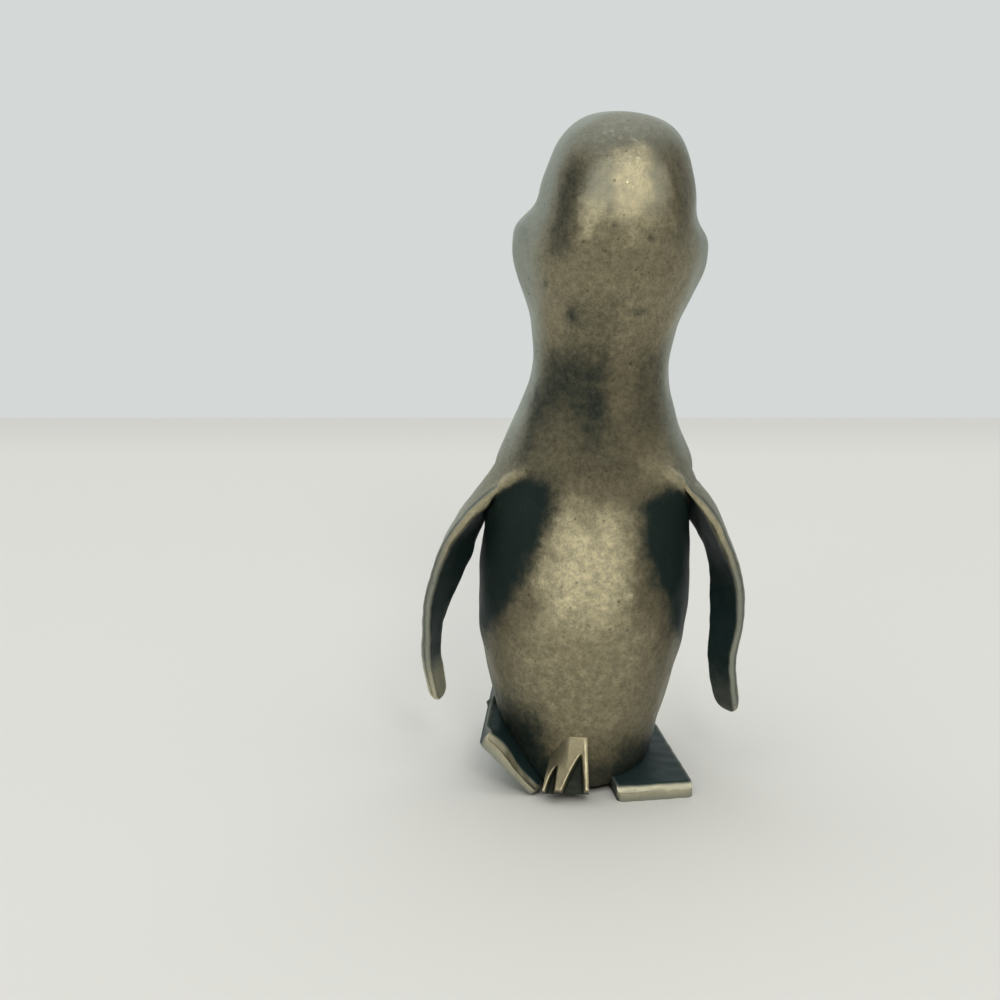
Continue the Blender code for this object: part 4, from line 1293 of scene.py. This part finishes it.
class PENGUIN_OT_pins(bpy.types.Operator):
    """Gives the CAD model's pins their finish"""

    bl_idname = "penguin.pins"
    bl_label = "Pins"

    def execute(self, context):
        for name in ("neck_pin", "left_foot_pin", "right_foot_pin"):
            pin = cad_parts[name]
            pin.data.materials.clear()
            pin.data.materials.append(finish_named("bright_bead_pewter"))
        return {"FINISHED"}


def soft_lamp(name, power, tint, azimuth, elevation, size):
    """A round soft light that faces the figure's middle.

    Azimuth 0 is on the camera's side, and positive is to the right.
    """
    middle = Vector((0.0, 0.0, 0.035))
    distance = 0.6
    turn = Matrix.Rotation(math.radians(azimuth), 3, "Z")
    tilt = Matrix.Rotation(-math.radians(elevation), 3, "X")
    toward = turn @ tilt @ Vector((0.0, -1.0, 0.0))
    lamp = bpy.data.lights.new(name, "AREA")
    lamp.shape = "DISK"
    lamp.size = size
    lamp.energy = power
    lamp.color = tint
    obj = bpy.data.objects.new(name, lamp)
    obj.location = middle + toward * distance
    obj.rotation_euler = (-toward).to_track_quat("-Z", "Y").to_euler()
    bpy.context.scene.collection.objects.link(obj)


def floor_material(stage):
    """Pale table with a painted shade that darkens it a little where it meets the wall."""
    material = bpy.data.materials.new("pale_table")
    material.use_nodes = True
    nodes = Nodes(material.node_tree)
    shader = material.node_tree.nodes["Principled BSDF"]
    place = nodes.add("ShaderNodeTexCoord").outputs["Object"]
    cloud = nodes.add("ShaderNodeTexNoise", {"Vector": place, "Scale": 7.0, "Detail": 2.0})
    parts = nodes.add("ShaderNodeSeparateXYZ", {"Vector": place})
    shade_start = stage.wall_distance - 0.028
    shade_share = 0.16
    shade_grey = (0.3, 0.3, 0.3, 1.0)
    # Painted shade along the table's far edge, where it meets the wall.
    wall_shade = nodes.span(parts.outputs["Y"], shade_start, stage.wall_distance, 0.0, shade_share)
    lighter = tuple(min(1.0, part * 1.03) for part in stage.floor)
    top = nodes.mix(cloud.outputs[0], (*stage.floor, 1.0), (*lighter, 1.0))
    nodes.feed(shader.inputs["Base Color"], nodes.mix(wall_shade, top, shade_grey))
    shader.inputs["Roughness"].default_value = 0.6
    shader.inputs["Specular IOR Level"].default_value = 0.2
    return material


def studio_world(stage):
    """A pale wall behind the figure and light from above, in a dim room.

    The camera itself sees the wall all round.
    """
    world = bpy.data.worlds.new("studio")
    bpy.context.scene.world = world
    world.use_nodes = True
    nodes = Nodes(world.node_tree)
    background = world.node_tree.nodes["Background"]
    direction = nodes.add("ShaderNodeTexCoord").outputs["Generated"]
    parts = nodes.add("ShaderNodeSeparateXYZ", {"Vector": direction})
    toward = (-math.sin(WALL_TURN), math.cos(WALL_TURN), 0.0)
    facing = nodes.add("ShaderNodeVectorMath", {0: direction, 1: toward}, operation="DOT_PRODUCT")
    behind = nodes.span(facing.outputs["Value"], 0.30, 0.56)
    overhead = nodes.span(parts.outputs["Z"], 0.55, 0.85)
    wall = (*stage.wall, 1.0)
    ceiling = (*(part * stage.ceiling_strength for part in stage.ceiling), 1.0)
    glow = (*(part * stage.wall_strength for part in stage.wall), 1.0)
    surroundings = nodes.mix(behind, (*stage.room, 1.0), glow)
    surroundings = nodes.mix(overhead, surroundings, ceiling)
    seen = nodes.add("ShaderNodeLightPath").outputs["Is Camera Ray"]
    nodes.feed(background.inputs["Color"], nodes.mix(seen, surroundings, wall))


class PENGUIN_OT_stage(bpy.types.Operator):
    """Sets the pale table, the wall, the soft lights and the camera"""

    bl_idname = "penguin.stage"
    bl_label = "Stage"

    def execute(self, context):
        stage = context.scene.penguin_stage
        axis = Figure(context.scene.penguin_figure).axis
        bm = bmesh.new()
        bmesh.ops.create_grid(bm, x_segments=1, y_segments=1, size=1.0)
        near = -0.9
        half_width = 1.2
        half_depth = (stage.wall_distance - near) / 2
        bmesh.ops.scale(bm, vec=(half_width, half_depth, 1.0), verts=bm.verts)
        bmesh.ops.translate(bm, vec=(0.0, (stage.wall_distance + near) / 2, 0.0), verts=bm.verts)
        mesh = bpy.data.meshes.new("table_top")
        bm.to_mesh(mesh)
        bm.free()
        mesh.materials.append(floor_material(stage))
        table_top = bpy.data.objects.new("table_top", mesh)
        # The wall's foot is level in the picture, so the table turns with the camera
        table_top.matrix_world = Matrix.Translation(axis) @ Matrix.Rotation(stage.camera_yaw, 4, "Z")
        context.scene.collection.objects.link(table_top)
        studio_world(stage)
        soft_lamp("key", stage.key_power, stage.key_colour, azimuth=14, elevation=36, size=0.17)
        soft_lamp("fill", stage.fill_power, stage.key_colour, azimuth=-33, elevation=12, size=0.12)
        camera = bpy.data.cameras.new("camera")
        camera.lens = stage.lens
        camera.sensor_width = 36.0
        camera.clip_start = 0.001
        viewer = bpy.data.objects.new("camera", camera)
        context.scene.collection.objects.link(viewer)
        yaw = Matrix.Rotation(stage.camera_yaw, 4, "Z")
        pitch = Matrix.Rotation(math.pi / 2 - stage.camera_pitch, 4, "X")
        viewer.matrix_world = Matrix.Translation(Vector(stage.camera_place) + Vector(axis)) @ yaw @ pitch
        context.scene.camera = viewer
        context.scene.view_settings.view_transform = "Standard"
        return {"FINISHED"}


class PENGUIN_PT_parts(bpy.types.Panel):
    """Lists the pieces of the penguin"""

    bl_idname = "PENGUIN_PT_parts"
    bl_label = "Pewter Penguin"
    bl_space_type = "VIEW_3D"
    bl_region_type = "UI"
    bl_category = "Penguin"

    def draw(self, context):
        for operator in OPERATORS:
            self.layout.operator(operator.bl_idname)


GROUPS = {
    "penguin_figure": PenguinFigure,
    "penguin_flippers": PenguinFlippers,
    "penguin_feet": PenguinFeet,
    "penguin_tail": PenguinTail,
    "penguin_face": PenguinFace,
    "penguin_finish": PenguinFinish,
    "penguin_stage": PenguinStage,
}

OPERATORS = (
    PENGUIN_OT_trunk,
    PENGUIN_OT_head,
    PENGUIN_OT_flippers,
    PENGUIN_OT_feet,
    PENGUIN_OT_tail,
    PENGUIN_OT_face,
    PENGUIN_OT_pins,
    PENGUIN_OT_stage,
)


def register():
    for group in GROUPS.values():
        bpy.utils.register_class(group)
    for operator in OPERATORS:
        bpy.utils.register_class(operator)
    bpy.utils.register_class(PENGUIN_PT_parts)
    for name, group in GROUPS.items():
        setattr(bpy.types.Scene, name, PointerProperty(type=group))


def unregister():
    for name in GROUPS:
        delattr(bpy.types.Scene, name)
    bpy.utils.unregister_class(PENGUIN_PT_parts)
    for operator in reversed(OPERATORS):
        bpy.utils.unregister_class(operator)
    for group in reversed(list(GROUPS.values())):
        bpy.utils.unregister_class(group)


def main():
    register()
    bpy.ops.penguin.trunk()
    bpy.ops.penguin.head()
    bpy.ops.penguin.flippers()
    bpy.ops.penguin.feet()
    bpy.ops.penguin.tail()
    bpy.ops.penguin.face()
    bpy.ops.penguin.pins()
    bpy.ops.penguin.stage()
    bpy.context.view_layer.update()


if __name__ == "__main__":
    main()
